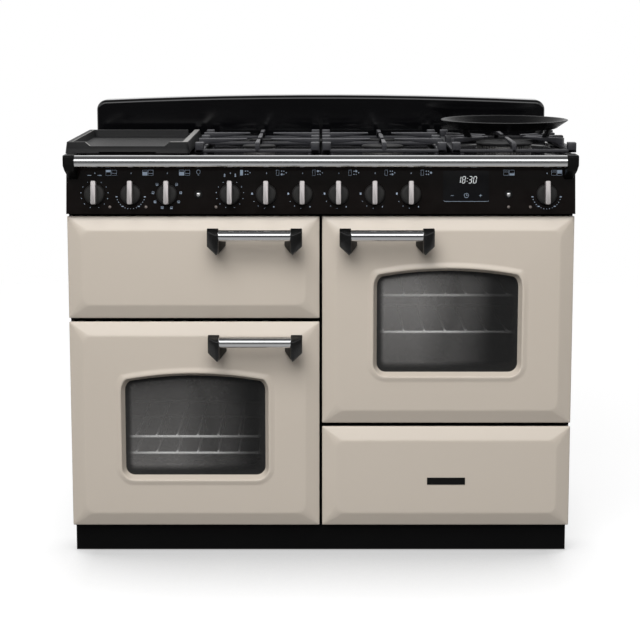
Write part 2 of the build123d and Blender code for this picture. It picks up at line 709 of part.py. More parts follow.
def door_glass(x_mid, z0):
    """Outer pane behind the moulding and inner pane on the back of the liner."""
    sill = z0 + WINDOW_SILL
    with BuildPart() as panes:
        extrude(window_outline(x_mid, sill, GLASS_LAP, FRONT_T), -GLASS_T)
        extrude(window_outline(x_mid, sill, GLASS_LAP, DOOR_T - SHEET), GLASS_T)
    return panes.part


def handle_end(x_outer, inward, z):
    """Five-sided end block that holds the bar, with a foot back to the door."""
    top = z + HANDLE_END_ABOVE
    corners = (
        (0, 0),
        (HANDLE_END_W, 0),
        (HANDLE_END_W, HANDLE_TIP - HANDLE_END_H),
        (HANDLE_TIP_IN, -HANDLE_END_H),
        (0, -HANDLE_SHOULDER),
    )
    near = x_outer + inward * HANDLE_FOOT_IN
    far = near + inward * HANDLE_FOOT_W
    with BuildPart() as end:
        with BuildSketch(upright(x_outer, -FRONT_REACH, top)):
            with BuildLine():
                Polyline(*[(inward * across, up) for across, up in corners], close=True)
            make_face()
        extrude(amount=-HANDLE_HEAD_T)
        foot_top = top - HANDLE_END_H + HANDLE_FOOT_H
        block(*sorted((near, far)), HANDLE_HEAD_T / 2 - FRONT_REACH, 0, top - HANDLE_END_H, foot_top)
    return end.part


def save_handle(name, x0, z):
    """Bar and pair of end blocks for one door, starting at its left end."""
    x1 = x0 + HANDLE_LENGTH
    with BuildPart() as bar:
        rod(x0 + HANDLE_END_W, x1 - HANDLE_END_W, -HANDLE_STANDOFF, z, HANDLE_BAR_D / 2)
    save(bar.part, f"{name}_handle_bar")
    with BuildPart() as ends:
        add(handle_end(x0, 1, z))
        add(handle_end(x1, -1, z))
    save(ends.part, f"{name}_handle_ends")


LEFT_HANDLE_X = -HANDLE_INNER_X - HANDLE_LENGTH
for name, x_mid, z0, height, hinge_x, window, handle_x in (
    ("grill", -COLUMN_X, UPPER_LEFT_Z, SHORT_DOOR, -HINGE_X, False, LEFT_HANDLE_X),
    ("left", -COLUMN_X, DOOR_BOTTOM_Z, TALL_DOOR, -HINGE_X, True, LEFT_HANDLE_X),
    ("right", COLUMN_X, UPPER_RIGHT_Z, TALL_DOOR, HINGE_X, True, HANDLE_INNER_X),
):
    save(door_front(x_mid, z0, height, window), f"{name}_door_panel")
    save(door_liner(x_mid, z0, height, hinge_x, window), f"{name}_door_liner")
    if window:
        save(door_glass(x_mid, z0), f"{name}_door_glass")
    save_handle(name, handle_x, z0 + height - HANDLE_BELOW_TOP)

save(door_front(COLUMN_X, DOOR_BOTTOM_Z, SHORT_DOOR, False), "drawer_front")

# Control panel: leaning fascia with returns at top and bottom, and closed ends
PANEL_HALF = HALF - SIDE_REVEAL
SPINDLE_HOLE_R = SPINDLE_R + SPINDLE_CLEAR


def panel_depth(z):
    """Depth of the leaning fascia at a height."""
    return PANEL_LEAN * (z - PANEL_BOTTOM_Z) / PANEL_H


fascia_skin = PANEL_T / cos(LEAN)
drill_length = 4 * PANEL_T
inside_top = PANEL_TOP_Z - SHEET
inside_bottom = PANEL_BOTTOM_Z + SHEET
end_outline = (
    (0, PANEL_BOTTOM_Z),
    (PANEL_LEAN, PANEL_TOP_Z),
    (FRAME_BACK_D, PANEL_TOP_Z),
    (FRAME_BACK_D, PANEL_BOTTOM_Z),
)
fascia_outline = (
    (0, PANEL_BOTTOM_Z),
    (PANEL_LEAN, PANEL_TOP_Z),
    (FRAME_BACK_D, PANEL_TOP_Z),
    (FRAME_BACK_D, inside_top),
    (panel_depth(inside_top) + fascia_skin, inside_top),
    (panel_depth(inside_bottom) + fascia_skin, inside_bottom),
    (FRAME_BACK_D, inside_bottom),
    (FRAME_BACK_D, PANEL_BOTTOM_Z),
)
knob_seats = [panel_plane(x, KNOB_Z) for x in KNOB_XS]
button_seats = [panel_plane(x, KNOB_Z) for x in BUTTON_XS]
with BuildPart() as control_panel:
    for outline, start, length in (
        (fascia_outline, -PANEL_HALF, 2 * PANEL_HALF),
        (end_outline, -PANEL_HALF, SHEET),
        (end_outline, PANEL_HALF - SHEET, SHEET),
    ):
        with BuildSketch(Plane.YZ.offset(start)):
            with BuildLine():
                Polyline(*[(FRONT_Y + d, z) for d, z in outline], close=True)
            make_face()
        extrude(amount=length)
    with Locations(*knob_seats):
        Cylinder(SPINDLE_HOLE_R, drill_length, mode=Mode.SUBTRACT)
    with Locations(*button_seats):
        Cylinder(BUTTON_R + BUTTON_FIT, drill_length, mode=Mode.SUBTRACT)
    with Locations(panel_plane(CLOCK_X, CLOCK_Z)):
        Box(CLOCK_W, CLOCK_H, 2 * CLOCK_T, mode=Mode.SUBTRACT)
save(control_panel.part, "control_panel")

with BuildPart(panel_plane(CLOCK_X, CLOCK_Z)) as clock_window:
    Box(CLOCK_W, CLOCK_H, CLOCK_T, align=BEHIND_FACE)
save(clock_window.part, "clock_window")

# Knobs: round skirt, standing grip bar and the spindle behind


def knob(seat):
    """One control knob with its spindle."""
    outward = Axis(seat.origin, seat.z_dir)
    with BuildPart(seat) as dial:
        with Locations((0, 0, RUNNING_GAP)):
            Cylinder(KNOB_R, KNOB_SKIRT_T, align=ON_FACE)
            fillet(dial.edges().group_by(outward)[-1], KNOB_SKIRT_R)
            Cylinder(SPINDLE_R, RUNNING_GAP + SPINDLE_LENGTH, align=BEHIND_FACE)
        with Locations((0, 0, RUNNING_GAP + KNOB_SKIRT_T)):
            Box(KNOB_BAR_W, KNOB_BAR_L, KNOB_BAR_T, align=ON_FACE)
        fillet(dial.edges().group_by(outward)[-1], KNOB_EDGE_R)
    return dial.part


for number, seat in enumerate(knob_seats, 1):
    save(knob(seat), f"knob_{number}")


def lamp_button(seat):
    """Push button with a collar that keeps it behind the fascia."""
    with BuildPart(seat) as button:
        with Locations((0, 0, BUTTON_PROUD)):
            Cylinder(BUTTON_R, BUTTON_PROUD + PANEL_T + RUNNING_GAP, align=BEHIND_FACE)
        with Locations((0, 0, -PANEL_T - RUNNING_GAP)):
            Cylinder(BUTTON_R + BUTTON_COLLAR, BUTTON_COLLAR, align=BEHIND_FACE)
    return button.part


for name, seat in zip(("left_lamp_button", "right_lamp_button"), button_seats):
    save(lamp_button(seat), name)

# Taps and switches on the gas rail behind the fascia, with the pipe back to the inlet
rail_leg_xs = (THERMOSTAT_X - KNOB_PITCH / 2, HOB_KNOBS_X, RIGHT_KNOB_X - KNOB_PITCH / 2)
tap_seats = [seat.offset(-TAP_SETBACK) for seat in knob_seats]
tap_bore = SPINDLE_LENGTH - TAP_SETBACK + SPINDLE_END_GAP
with BuildPart() as tap_rail:
    rod(KNOB_XS[0], GAS_PIPE_X, GAS_RAIL_D, GAS_RAIL_Z, GAS_RAIL_R)
    spigot(GAS_PIPE_X, GAS_RAIL_D, BODY_DEPTH - INLET_LENGTH, GAS_RAIL_Z, GAS_RAIL_R)
    spigot(GAS_PIPE_X, BODY_DEPTH - INLET_LENGTH, BODY_DEPTH, GAS_RAIL_Z, INLET_R)
    spigot(GAS_PIPE_X, BODY_DEPTH - INLET_BORE_L, BODY_DEPTH, GAS_RAIL_Z, INLET_BORE_R, Mode.SUBTRACT)
    for x in rail_leg_xs:
        half = RAIL_LEG_W / 2
        block(x - half, x + half, FRAME_BACK_D - RAIL_LEG_T, FRAME_BACK_D, inside_bottom, GAS_RAIL_Z)
    with Locations(*tap_seats):
        Cylinder(TAP_R, TAP_LENGTH, align=BEHIND_FACE)
        Cylinder(SPINDLE_R + SPINDLE_FIT, tap_bore, align=BEHIND_FACE, mode=Mode.SUBTRACT)
save(tap_rail.part, "tap_rail")

# Hand rail between two tapering end brackets
with BuildPart() as hand_rail:
    rod(-RAIL_HALF, RAIL_HALF, -RAIL_REACH, RAIL_Z, RAIL_R)
    rod(-RAIL_HALF, RAIL_HALF, -RAIL_REACH, RAIL_Z, RAIL_R - RAIL_WALL, Mode.SUBTRACT)
save(hand_rail.part, "hand_rail")


def rail_bracket(side):
    """Bracket that widens from a narrow foot on the fascia to the end of the rail."""
    foot_d = panel_depth(RAIL_END_BOTTOM)
    front_d = -RAIL_REACH - RAIL_R
    side_view = (
        (front_d, RAIL_END_TOP),
        (front_d, RAIL_END_WAIST_Z),
        (foot_d - RAIL_END_TIP_T, RAIL_END_BOTTOM),
        (foot_d, RAIL_END_BOTTOM),
        (PANEL_LEAN, PANEL_TOP_Z),
        (PANEL_LEAN, RAIL_END_TOP),
    )
    front_view = (
        (RAIL_HALF, RAIL_END_TOP),
        (HALF, RAIL_END_TOP),
        (HALF, RAIL_END_WAIST_Z),
        (RAIL_HALF + RAIL_END_TIP_W, RAIL_END_BOTTOM),
        (RAIL_HALF, RAIL_END_BOTTOM),
    )
    with BuildPart() as bracket:
        with BuildSketch(Plane.YZ):
            with BuildLine():
                Polyline(*[(FRONT_Y + d, z) for d, z in side_view], close=True)
            make_face()
        extrude(amount=side * HALF)
        with BuildSketch(upright(0, front_d, 0)):
            with BuildLine():
                Polyline(*[(side * x, z) for x, z in front_view], close=True)
            make_face()
        extrude(amount=front_d - PANEL_LEAN, mode=Mode.INTERSECT)
    return bracket.part


with BuildPart() as rail_brackets:
    add(rail_bracket(-1))
    add(rail_bracket(1))
save(rail_brackets.part, "rail_brackets")

# Hob top: enamelled tray with a raised rim and a shallow well round each burner
HOB_FRONT_D = PANEL_LEAN
WELL_Z = DECK_Z - WELL_DEPTH
burners = [(x, d) for x in (-ZONE_X, ZONE_X) for d in BURNER_DS]
all_burners = [(x, d, r, WELL_R) for (x, d), r in zip(burners, BURNER_RS)]
all_burners.append((SIDE_ZONE_X, BURNER_D, WOK_BURNER_R, WOK_WELL_R))
with BuildPart() as hob_top:
    skirt = HOB_SKIRT_T
    rim = HOB_RIM_W
    rim_z = DECK_Z + HOB_RIM_H
    block(-HALF, HALF, HOB_FRONT_D, GUARD_FRONT_D, PANEL_TOP_Z, rim_z)
    block(-HALF + rim, HALF - rim, HOB_FRONT_D + rim, GUARD_FRONT_D, DECK_Z, rim_z, Mode.SUBTRACT)
    block(
        -HALF + skirt, HALF - skirt, HOB_FRONT_D + skirt, GUARD_FRONT_D - skirt,
        PANEL_TOP_Z, DECK_Z - HOB_DECK_T, Mode.SUBTRACT,
    )
    for x, d, radius, well_r in all_burners:
        post(x, d, WELL_Z, DECK_Z, well_r, Mode.SUBTRACT)
        post(x, d, DECK_Z - HOB_DECK_T, WELL_Z, radius - BURNER_LIP + BURNER_FIT, Mode.SUBTRACT)
save(hob_top.part, "hob_top")

# Burners: a head with its throat through the hob, and a loose cap on each
with BuildPart() as burner_heads:
    for x, d, radius, well_r in all_burners:
        post(x, d, WELL_Z, WELL_Z + BURNER_H, radius)
        post(x, d, WELL_Z - BURNER_DROP, WELL_Z, radius - BURNER_LIP)
save(burner_heads.part, "burner_heads")

with BuildPart() as burner_caps:
    for x, d, radius, well_r in all_burners:
        post(x, d, WELL_Z + BURNER_H, WELL_Z + BURNER_H + CAP_T, radius + CAP_LAP)
    fillet(burner_caps.edges().group_by(Axis.Z)[-1], CAP_T / 2)
save(burner_caps.part, "burner_caps")

with BuildPart() as hotplate:
    griddle_mid_d = (GRIDDLE_FRONT_D + GRIDDLE_BACK_D) / 2
    post(-SIDE_ZONE_X, griddle_mid_d, DECK_Z, DECK_Z + HOTPLATE_T, HOTPLATE_R)
save(hotplate.part, "hotplate")

# Griddle: cast tray with a broad rim, standing on four pads over the hotplate


def griddle_outline(inset, z):
    """Rounded rectangle across the griddle at a height."""
    length = GRIDDLE_BACK_D - GRIDDLE_FRONT_D
    with BuildSketch(Plane((-SIDE_ZONE_X, FRONT_Y + griddle_mid_d, z))) as outline:
        RectangleRounded(GRIDDLE_W - 2 * inset, length - 2 * inset, GRIDDLE_CORNER_R)
    return outline.sketch


with BuildPart() as griddle:
    mouth = GRIDDLE_DRAFT + GRIDDLE_RIM_W
    loft([griddle_outline(0, GRIDDLE_BASE_Z), griddle_outline(GRIDDLE_DRAFT, GRIDDLE_TOP_Z)], ruled=True)
    cooking_face = griddle_outline(mouth + GRIDDLE_DRAFT, GRIDDLE_BASE_Z + GRIDDLE_FLOOR_T)
    loft([cooking_face, griddle_outline(mouth, GRIDDLE_TOP_Z)], ruled=True, mode=Mode.SUBTRACT)
    with BuildSketch(upright(-SIDE_ZONE_X, GRIDDLE_FRONT_D + mouth, GRIDDLE_TOP_Z)):
        wide = GRIDDLE_NOTCH_W + 4 * GRIDDLE_NOTCH_H / tan(radians(GRIDDLE_NOTCH_SLOPE))
        Trapezoid(wide, 2 * GRIDDLE_NOTCH_H, GRIDDLE_NOTCH_SLOPE, rotation=180)
    extrude(amount=2 * mouth, mode=Mode.SUBTRACT)
    block(
        -SIDE_ZONE_X - GRIDDLE_SLOT_W / 2, -SIDE_ZONE_X + GRIDDLE_SLOT_W / 2, GRIDDLE_FRONT_D,
        GRIDDLE_FRONT_D + mouth, GRIDDLE_BASE_Z, GRIDDLE_BASE_Z + GRIDDLE_SLOT_H, Mode.SUBTRACT,
    )
    spout_x = GRIDDLE_W / 2 - SIDE_ZONE_X - mouth
    block(
        spout_x - GRIDDLE_SPOUT_W, spout_x, GRIDDLE_BACK_D - mouth, GRIDDLE_BACK_D,
        GRIDDLE_TOP_Z - GRIDDLE_NOTCH_H, GRIDDLE_TOP_Z, Mode.SUBTRACT,
    )
    for x in (GRIDDLE_PAD_IN - GRIDDLE_W / 2, GRIDDLE_W / 2 - GRIDDLE_PAD_IN):
        for d in (GRIDDLE_FRONT_D + GRIDDLE_PAD_IN, GRIDDLE_BACK_D - GRIDDLE_PAD_IN):
            post(x - SIDE_ZONE_X, d, DECK_Z + LIFT_GAP, GRIDDLE_BASE_Z, GRIDDLE_PAD / 2)
save(griddle.part, "griddle")

# Cast grates: low perimeter bars, standing lugs and fingers that taper towards the burners
GRATE_LOW_TOP = GRATE_LOW_Z + GRATE_LOW_H


def finger(x, d, angle, root, tip):
    """Finger pointing at a burner from one side, deep at its root and shallow at its tip."""
    heading = (cos(radians(angle)), sin(radians(angle)), 0)
    across = (heading[1], -heading[0], 0)
    outline = (
        (root, GRATE_LOW_Z),
        (root, GRATE_TOP_Z),
        (tip, GRATE_TOP_Z),
        (tip, GRATE_TOP_Z - FINGER_TIP_H),
        (root - FINGER_ROOT, GRATE_LOW_Z),
    )
    with BuildPart() as piece:
        with BuildSketch(Plane(origin=(x, FRONT_Y + d, 0), x_dir=heading, z_dir=across)):
            with BuildLine():
                Polyline(*outline, close=True)
            make_face()
        extrude(amount=FINGER_W / 2, both=True)
    return piece.part


def grate(x_mid, width, fingers, crossbar):
    """Perimeter of low bars with lugs at the corners and the given fingers."""
    half = width / 2
    bar = GRATE_BAR
    front = GRATE_FRONT_D
    back = GRATE_BACK_D
    with BuildPart() as piece:
        for d in (front, back - bar):
            block(x_mid - half, x_mid + half, d, d + bar, GRATE_LOW_Z, GRATE_LOW_TOP)
            for x in (x_mid - half + GRATE_PAD_IN, x_mid + half - GRATE_PAD_IN):
                post(x, d + bar / 2, DECK_Z + LIFT_GAP, GRATE_LOW_Z, GRATE_PAD_R)
        for x in (x_mid - half, x_mid + half - GRATE_RAIL):
            block(x, x + GRATE_RAIL, front, back, GRATE_LOW_Z, GRATE_LOW_TOP)
            for d in (front, BURNER_D - GRATE_LUG / 2, back - GRATE_LUG):
                block(x, x + GRATE_RAIL, d, d + GRATE_LUG, GRATE_LOW_TOP, GRATE_TOP_Z)
        if crossbar:
            mid = BURNER_D - bar / 2
            block(x_mid - half, x_mid + half, mid, mid + bar, GRATE_LOW_Z, GRATE_LOW_TOP)
        for settings in fingers:
            add(finger(*settings))
    return piece.part


def pair_fingers(x_mid):
    """Four fingers round each of the two burners of a middle grate."""
    fingers = []
    for d, to_front, to_back in (
        (BURNER_DS[0], BURNER_DS[0] - GRATE_FRONT_D, BURNER_PITCH / 2),
        (BURNER_DS[1], BURNER_PITCH / 2, GRATE_BACK_D - BURNER_DS[1]),
    ):
        for angle, root in ((0, GRATE_W / 2), (180, GRATE_W / 2), (-90, to_front), (90, to_back)):
            fingers.append((x_mid, d, angle, root, FINGER_GAP))
    return fingers


def wok_fingers():
    """Eight fingers round the wok burner; the slanting four carry the cradle."""
    half = GRATE_W / 2
    corner = degrees(atan2(BURNER_PITCH / 2, half))
    slant = hypot(half, BURNER_PITCH / 2) - GRATE_BAR
    roots = [(0, half), (180, half), (-90, BURNER_D - GRATE_FRONT_D), (90, GRATE_BACK_D - BURNER_D)]
    roots += [(angle, slant) for angle in (corner, -corner, 180 - corner, corner - 180)]
    return [(SIDE_ZONE_X, BURNER_D, angle, root, WOK_FINGER_GAP) for angle, root in roots]


save(grate(-ZONE_X, GRATE_W, pair_fingers(-ZONE_X), True), "grate_left")
save(grate(ZONE_X, GRATE_W, pair_fingers(ZONE_X), True), "grate_middle")
save(grate(SIDE_ZONE_X, GRATE_W, wok_fingers(), False), "grate_right")

# Wok cradle: sloping ring on four legs that stand on the slanting fingers
cradle_low_z = CRADLE_TOP_Z - CRADLE_BAND_H
cradle_axis = Axis((SIDE_ZONE_X, FRONT_Y + BURNER_D, 0), (0, 0, 1))
corner = degrees(atan2(BURNER_PITCH / 2, GRATE_W / 2))
band = (
    (CRADLE_R, CRADLE_TOP_Z),
    (CRADLE_R - CRADLE_T, CRADLE_TOP_Z),
    (CRADLE_R - CRADLE_T - CRADLE_TAPER, cradle_low_z),
    (CRADLE_R - CRADLE_TAPER, cradle_low_z),
)
leg = (
    (CRADLE_R - CRADLE_TAPER, cradle_low_z + CRADLE_LEG_LAP),
    (CRADLE_R - CRADLE_T - CRADLE_TAPER, cradle_low_z + CRADLE_LEG_LAP / 2),
    (CRADLE_FOOT_R - CRADLE_FOOT_W / 2, GRATE_TOP_Z + LIFT_GAP),
    (CRADLE_FOOT_R + CRADLE_FOOT_W / 2, GRATE_TOP_Z + LIFT_GAP),
)
with BuildPart() as wok_cradle:
    with BuildSketch(upright(SIDE_ZONE_X, BURNER_D, 0)):
        with BuildLine():
            Polyline(*band, close=True)
        make_face()
    revolve(axis=cradle_axis)
    for angle in (corner, -corner, 180 - corner, corner - 180):
        heading = (cos(radians(angle)), sin(radians(angle)), 0)
        across = (heading[1], -heading[0], 0)
        centre = (SIDE_ZONE_X, FRONT_Y + BURNER_D, 0)
        with BuildSketch(Plane(origin=centre, x_dir=heading, z_dir=across)):
            with BuildLine():
                Polyline(*leg, close=True)
            make_face()
        extrude(amount=CRADLE_LEG_W / 2, both=True)
save(wok_cradle.part, "wok_cradle")

# Backguard: hollow upstand with a gently crowned, rounded top
GUARD_HEAD = GUARD_EDGE_R + GUARD_HEAD_WALL


def guard_outline(inset, d):
    """Backguard seen from the front, drawn in by an inset at its top and ends."""
    edge = HALF - inset
    shoulder = GUARD_END_Z - inset
    with BuildSketch(upright(0, d, 0)) as outline:
        with BuildLine():
            Polyline((-edge, shoulder), (-edge, PANEL_TOP_Z), (edge, PANEL_TOP_Z), (edge, shoulder))
            ThreePointArc((edge, shoulder), (0, GUARD_CROWN_Z - inset), (-edge, shoulder))
        make_face()
        fillet(outline.vertices().group_by(Axis.Y)[-1], GUARD_CORNER_R)
    return outline.sketch


with BuildPart() as backguard:
    extrude(guard_outline(0, GUARD_FRONT_D), GUARD_FRONT_D - BODY_DEPTH)
    front_face = backguard.faces().sort_by(Axis.Y)[0]
    base_edge = front_face.edges().sort_by(Axis.Z)[0]
    fillet([edge for edge in front_face.edges() if edge != base_edge], GUARD_EDGE_R)
    inner_depth = BODY_DEPTH - GUARD_FRONT_D - 2 * GUARD_WALL
    extrude(guard_outline(GUARD_HEAD, GUARD_FRONT_D + GUARD_WALL), -inner_depth, mode=Mode.SUBTRACT)
save(backguard.part, "backguard")
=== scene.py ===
import json
from math import atan2, cos, pi, radians, sin, sqrt
import bmesh
import bpy
from mathutils import Matrix, Vector

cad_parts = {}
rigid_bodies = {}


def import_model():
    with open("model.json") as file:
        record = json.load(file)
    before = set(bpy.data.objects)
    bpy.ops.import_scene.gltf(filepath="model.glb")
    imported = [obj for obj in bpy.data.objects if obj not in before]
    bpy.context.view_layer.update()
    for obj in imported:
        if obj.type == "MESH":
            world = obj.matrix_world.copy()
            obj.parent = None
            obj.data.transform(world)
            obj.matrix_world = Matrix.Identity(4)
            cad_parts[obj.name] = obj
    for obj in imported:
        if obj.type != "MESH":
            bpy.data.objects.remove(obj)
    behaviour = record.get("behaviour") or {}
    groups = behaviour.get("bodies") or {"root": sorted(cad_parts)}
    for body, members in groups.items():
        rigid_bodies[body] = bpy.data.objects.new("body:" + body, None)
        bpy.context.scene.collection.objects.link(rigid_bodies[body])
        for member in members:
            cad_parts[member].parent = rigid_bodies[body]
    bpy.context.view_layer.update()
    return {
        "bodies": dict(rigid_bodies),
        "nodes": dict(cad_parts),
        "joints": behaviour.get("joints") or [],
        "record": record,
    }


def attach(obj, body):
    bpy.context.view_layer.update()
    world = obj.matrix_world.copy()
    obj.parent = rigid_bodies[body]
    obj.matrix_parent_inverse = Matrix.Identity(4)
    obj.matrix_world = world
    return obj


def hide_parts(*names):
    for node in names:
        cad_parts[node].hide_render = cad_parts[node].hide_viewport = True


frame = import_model()
nodes = frame["nodes"]


# Side panels, plinth, front frame and drawer box: folded sheet steel in satin black powder coat.
# The sides are screwed to the base and the frame, and the plinth hides the feet.
class Shade:
    """A socket in a material's node tree. Sums on it add Math nodes."""

    def __init__(self, tree, socket=None):
        self.tree = tree
        self.socket = socket

    def node(self, kind, settings=None, sockets=None, out=0):
        """Add a node: its settings first, then the values or links of its sockets."""
        made = self.tree.nodes.new("ShaderNode" + kind)
        for name, value in (settings or {}).items():
            setattr(made, name, value)
        for name, value in (sockets or {}).items():
            if isinstance(value, Shade):
                self.tree.links.new(value.socket, made.inputs[name])
            else:
                made.inputs[name].default_value = value
        return Shade(self.tree, made.outputs[out])

    def sum(self, operation, first, second):
        return self.node("Math", {"operation": operation}, {0: first, 1: second})

    def __add__(self, other):
        return self.sum("ADD", self, other)

    __radd__ = __add__

    def __sub__(self, other):
        return self.sum("SUBTRACT", self, other)

    def __rsub__(self, other):
        return self.sum("SUBTRACT", other, self)

    def __mul__(self, other):
        return self.sum("MULTIPLY", self, other)

    __rmul__ = __mul__

    def __pow__(self, other):
        return self.sum("POWER", self, other)

    def __abs__(self):
        return self.node("Math", {"operation": "ABSOLUTE"}, {0: self})

    def spread(self, low, high, to_low=0.0, to_high=1.0):
        """Map a span of values onto another, clamped."""
        return self.node("MapRange", {"clamp": True}, {0: self, 1: low, 2: high, 3: to_low, 4: to_high})

    def place(self, stretch=(1, 1, 1)):
        """Object coordinates in metres, stretched for a pattern."""
        spot = self.node("TexCoord", out="Object")
        return self.node("Mapping", {}, {"Vector": spot, "Scale": stretch})

    def along(self, axis):
        """One object coordinate, by its number: right, back or up."""
        return self.node("SeparateXYZ", {}, {0: self.place()}, out=axis)

    def noise(self, scale, detail=2.0, rough=0.5, stretch=(1, 1, 1)):
        sockets = {"Vector": self.place(stretch), "Scale": scale, "Detail": detail, "Roughness": rough}
        return self.node("TexNoise", {}, sockets)

    def tint(self, factor, first, second):
        """Blend two colours by a factor."""
        ends = {0: factor, 6: first, 7: second}
        for end in (6, 7):
            if not isinstance(ends[end], Shade):
                ends[end] = (*ends[end], 1)
        return self.node("Mix", {"data_type": "RGBA"}, ends, out=2)

    def bump(self, height, strength, depth):
        return self.node("Bump", {}, {"Strength": strength, "Distance": depth, "Height": height})


def coat(name, fixed, pattern):
    """A material with fixed shader values and a pattern that gives the sockets that vary."""
    material = bpy.data.materials.new(name)
    material.use_nodes = True
    tree = material.node_tree
    shader = tree.nodes["Principled BSDF"]
    for socket, value in fixed.items():
        shader.inputs[socket].default_value = value
    for socket, shade in pattern(Shade(tree)).items():
        tree.links.new(shade.socket, shader.inputs[socket])
    return material


def grained(dark, light, cloud, rough, grain=None, relief=None, peel=None):
    """A pattern of two close tones in clouds; a finer grain or peel may set the roughness and the relief."""
    def pattern(pen):
        soft = pen.noise(*cloud)
        fine = pen.noise(*grain) if grain else soft
        surface = {"Base Color": pen.tint(soft, dark, light), "Roughness": fine.spread(0.3, 0.7, *rough)}
        if relief:
            surface["Normal"] = pen.bump(pen.noise(*peel) if peel else fine, *relief)
        return surface
    return pattern


def finish_node(material, *names):
    """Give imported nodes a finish; their shapes stay as they are."""
    for name in names:
        for held in nodes[name].material_slots:
            held.material = material


DOOR_FACE = 274.0


def at(x, d, z):
    """A point in millimetres: right, back from the door faces, and up from the floor."""
    return Vector((x, d - DOOR_FACE, z)) / 1000


def block(bm, frame, size):
    """A block of a size in metres, about the middle of a frame; returns its vertices."""
    return bmesh.ops.create_cube(bm, size=1, matrix=frame @ Matrix.Diagonal((*size, 1)))["verts"]


def box(bm, x0, x1, d0, d1, z0, z1):
    """A block between two widths, two depths and two heights in millimetres; returns its vertices."""
    low, high = at(x0, d0, z0), at(x1, d1, z1)
    return block(bm, Matrix.Translation((low + high) / 2), high - low)


def soften(bm, width, steps=3, least=25, verts=None):
    """Round off the edges sharper than an angle, on the whole mesh or on some of its vertices."""
    edges = set(bm.edges) if verts is None else {e for v in verts for e in v.link_edges}
    sharp = [e for e in edges if e.is_manifold and e.calc_face_angle() > radians(least)]
    bmesh.ops.bevel(bm, geom=sharp, offset=width / 1000, segments=steps, profile=0.5, affect="EDGES",
                    clamp_overlap=True, material=-1)


def placed(name, data):
    """Put a mesh, lamp or camera in the scene."""
    obj = bpy.data.objects.new(name, data)
    bpy.context.scene.collection.objects.link(obj)
    return obj


def make(name, bm, material, body, replaced=(), smooth=40):
    """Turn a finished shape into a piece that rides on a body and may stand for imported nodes."""
    for face in bm.faces:
        face.smooth = True
    for edge in bm.edges:
        if edge.is_manifold:
            edge.smooth = edge.calc_face_angle() < radians(smooth)
    mesh = bpy.data.meshes.new(name)
    bm.to_mesh(mesh)
    bm.free()
    mesh.materials.append(material)
    obj = placed(name, mesh)
    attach(obj, body)
    if replaced:
        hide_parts(*replaced)
    return obj


def outward(bm):
    """Turn every face to look out of the shape."""
    bmesh.ops.recalc_face_normals(bm, faces=list(bm.faces))


def lathe(bm, outline, centre, axis, arm, steps=48):
    """Spin an outline of (radius, along) pairs in millimetres round an axis through a centre."""
    axis = Vector(axis).normalized()
    arm = Vector(arm).normalized()
    chain = [bm.verts.new(centre + (arm * r + axis * h) / 1000) for r, h in outline]
    links = [bm.edges.new(pair) for pair in zip(chain, chain[1:])]
    bmesh.ops.spin(bm, geom=chain + links, cent=centre, axis=axis, angle=2 * pi, steps=steps, use_merge=True)
    bmesh.ops.remove_doubles(bm, verts=list(bm.verts), dist=1e-6)
    outward(bm)


def screw(bm, spot, out):
    """A pan-head screw at a spot on a sheet, facing out."""
    arm = Vector(out).orthogonal()
    lathe(bm, ((0, 2.2), (2.0, 2.0), (3.4, 1.3), (4.0, 0.2), (4.0, -0.3)), spot, out, arm, steps=14)


SHINE = "Specular IOR Level"
black_sheet = coat("black_powder_coat", {SHINE: 0.06}, grained(
    (0.0020, 0.0020, 0.0021), (0.0036, 0.0036, 0.0037), (5, 3.0), (0.36, 0.52), (900, 2.0), (0.22, 0.0004)))
satin_sheet = coat("satin_sheet_coat", {SHINE: 0.3}, grained(
    (0.0085, 0.0085, 0.0088), (0.0125, 0.0125, 0.0128), (4, 3.0), (0.36, 0.50), (700, 2.0), (0.20, 0.0004)))
finish_node(black_sheet, "front_frame", "plinth")
finish_node(satin_sheet, "side_panels", "drawer_box")

SIDE_X = 550
SHEET_FOOT, SHEET_HEAD = 76, 846
bm = bmesh.new()
for side in (-1, 1):
    for d in (80, 320, 560):
        for z in (SHEET_FOOT, SHEET_HEAD):
            screw(bm, at(side * SIDE_X, d, z), (side, 0, 0))
make("side_screws", bm, black_sheet, "body")


# Levelling feet and grill element: the feet are plated steel stems turned with round pads and screwed up
# under the base, and the element is a bent steel-sheathed rod; heat and air have dulled both.
def dull_steel(pen):
    cloud = pen.noise(60, 4.0)
    return {
        "Base Color": pen.tint(cloud, (0.10, 0.095, 0.09), (0.22, 0.215, 0.21)),
        "Roughness": cloud.spread(0.2, 0.8, 0.32, 0.55),
        "Normal": pen.bump(pen.noise(700, 2.0), 0.1, 0.0003),
    }


dark_steel = coat("heat_darkened_steel", {"Metallic": 1.0}, dull_steel)
finish_node(dark_steel, "levelling_feet", "grill_element")


# Base tray, back sheet, runners, fans and motors: folded zinc coated steel with its crystal spangle.
# The back is louvred for the fan motors and screwed round its edge, with a rubber grommet for the cable.
def zinc(pen):
    spangle = pen.node("TexVoronoi", {"feature": "F1"}, {"Vector": pen.place(), "Scale": 85.0}, out="Color")
    facet = pen.node("SeparateColor", {}, {0: spangle})
    streak = pen.noise(30, 3.0, 0.5, (1, 1, 8))
    return {
        "Base Color": pen.tint(facet, (0.36, 0.37, 0.38), (0.55, 0.56, 0.57)),
        "Roughness": facet * 0.14 + streak.spread(0.3, 0.7, 0.30, 0.42),
        "Normal": pen.bump(pen.noise(500, 2.0), 0.08, 0.0003),
    }


zinc_sheet = coat("zinc_coated_sheet", {"Metallic": 0.9}, zinc)
finish_node(zinc_sheet, "chassis", "rear_panel", "drawer_runners", "fan_motors",
            "left_oven_fan", "right_oven_fan")

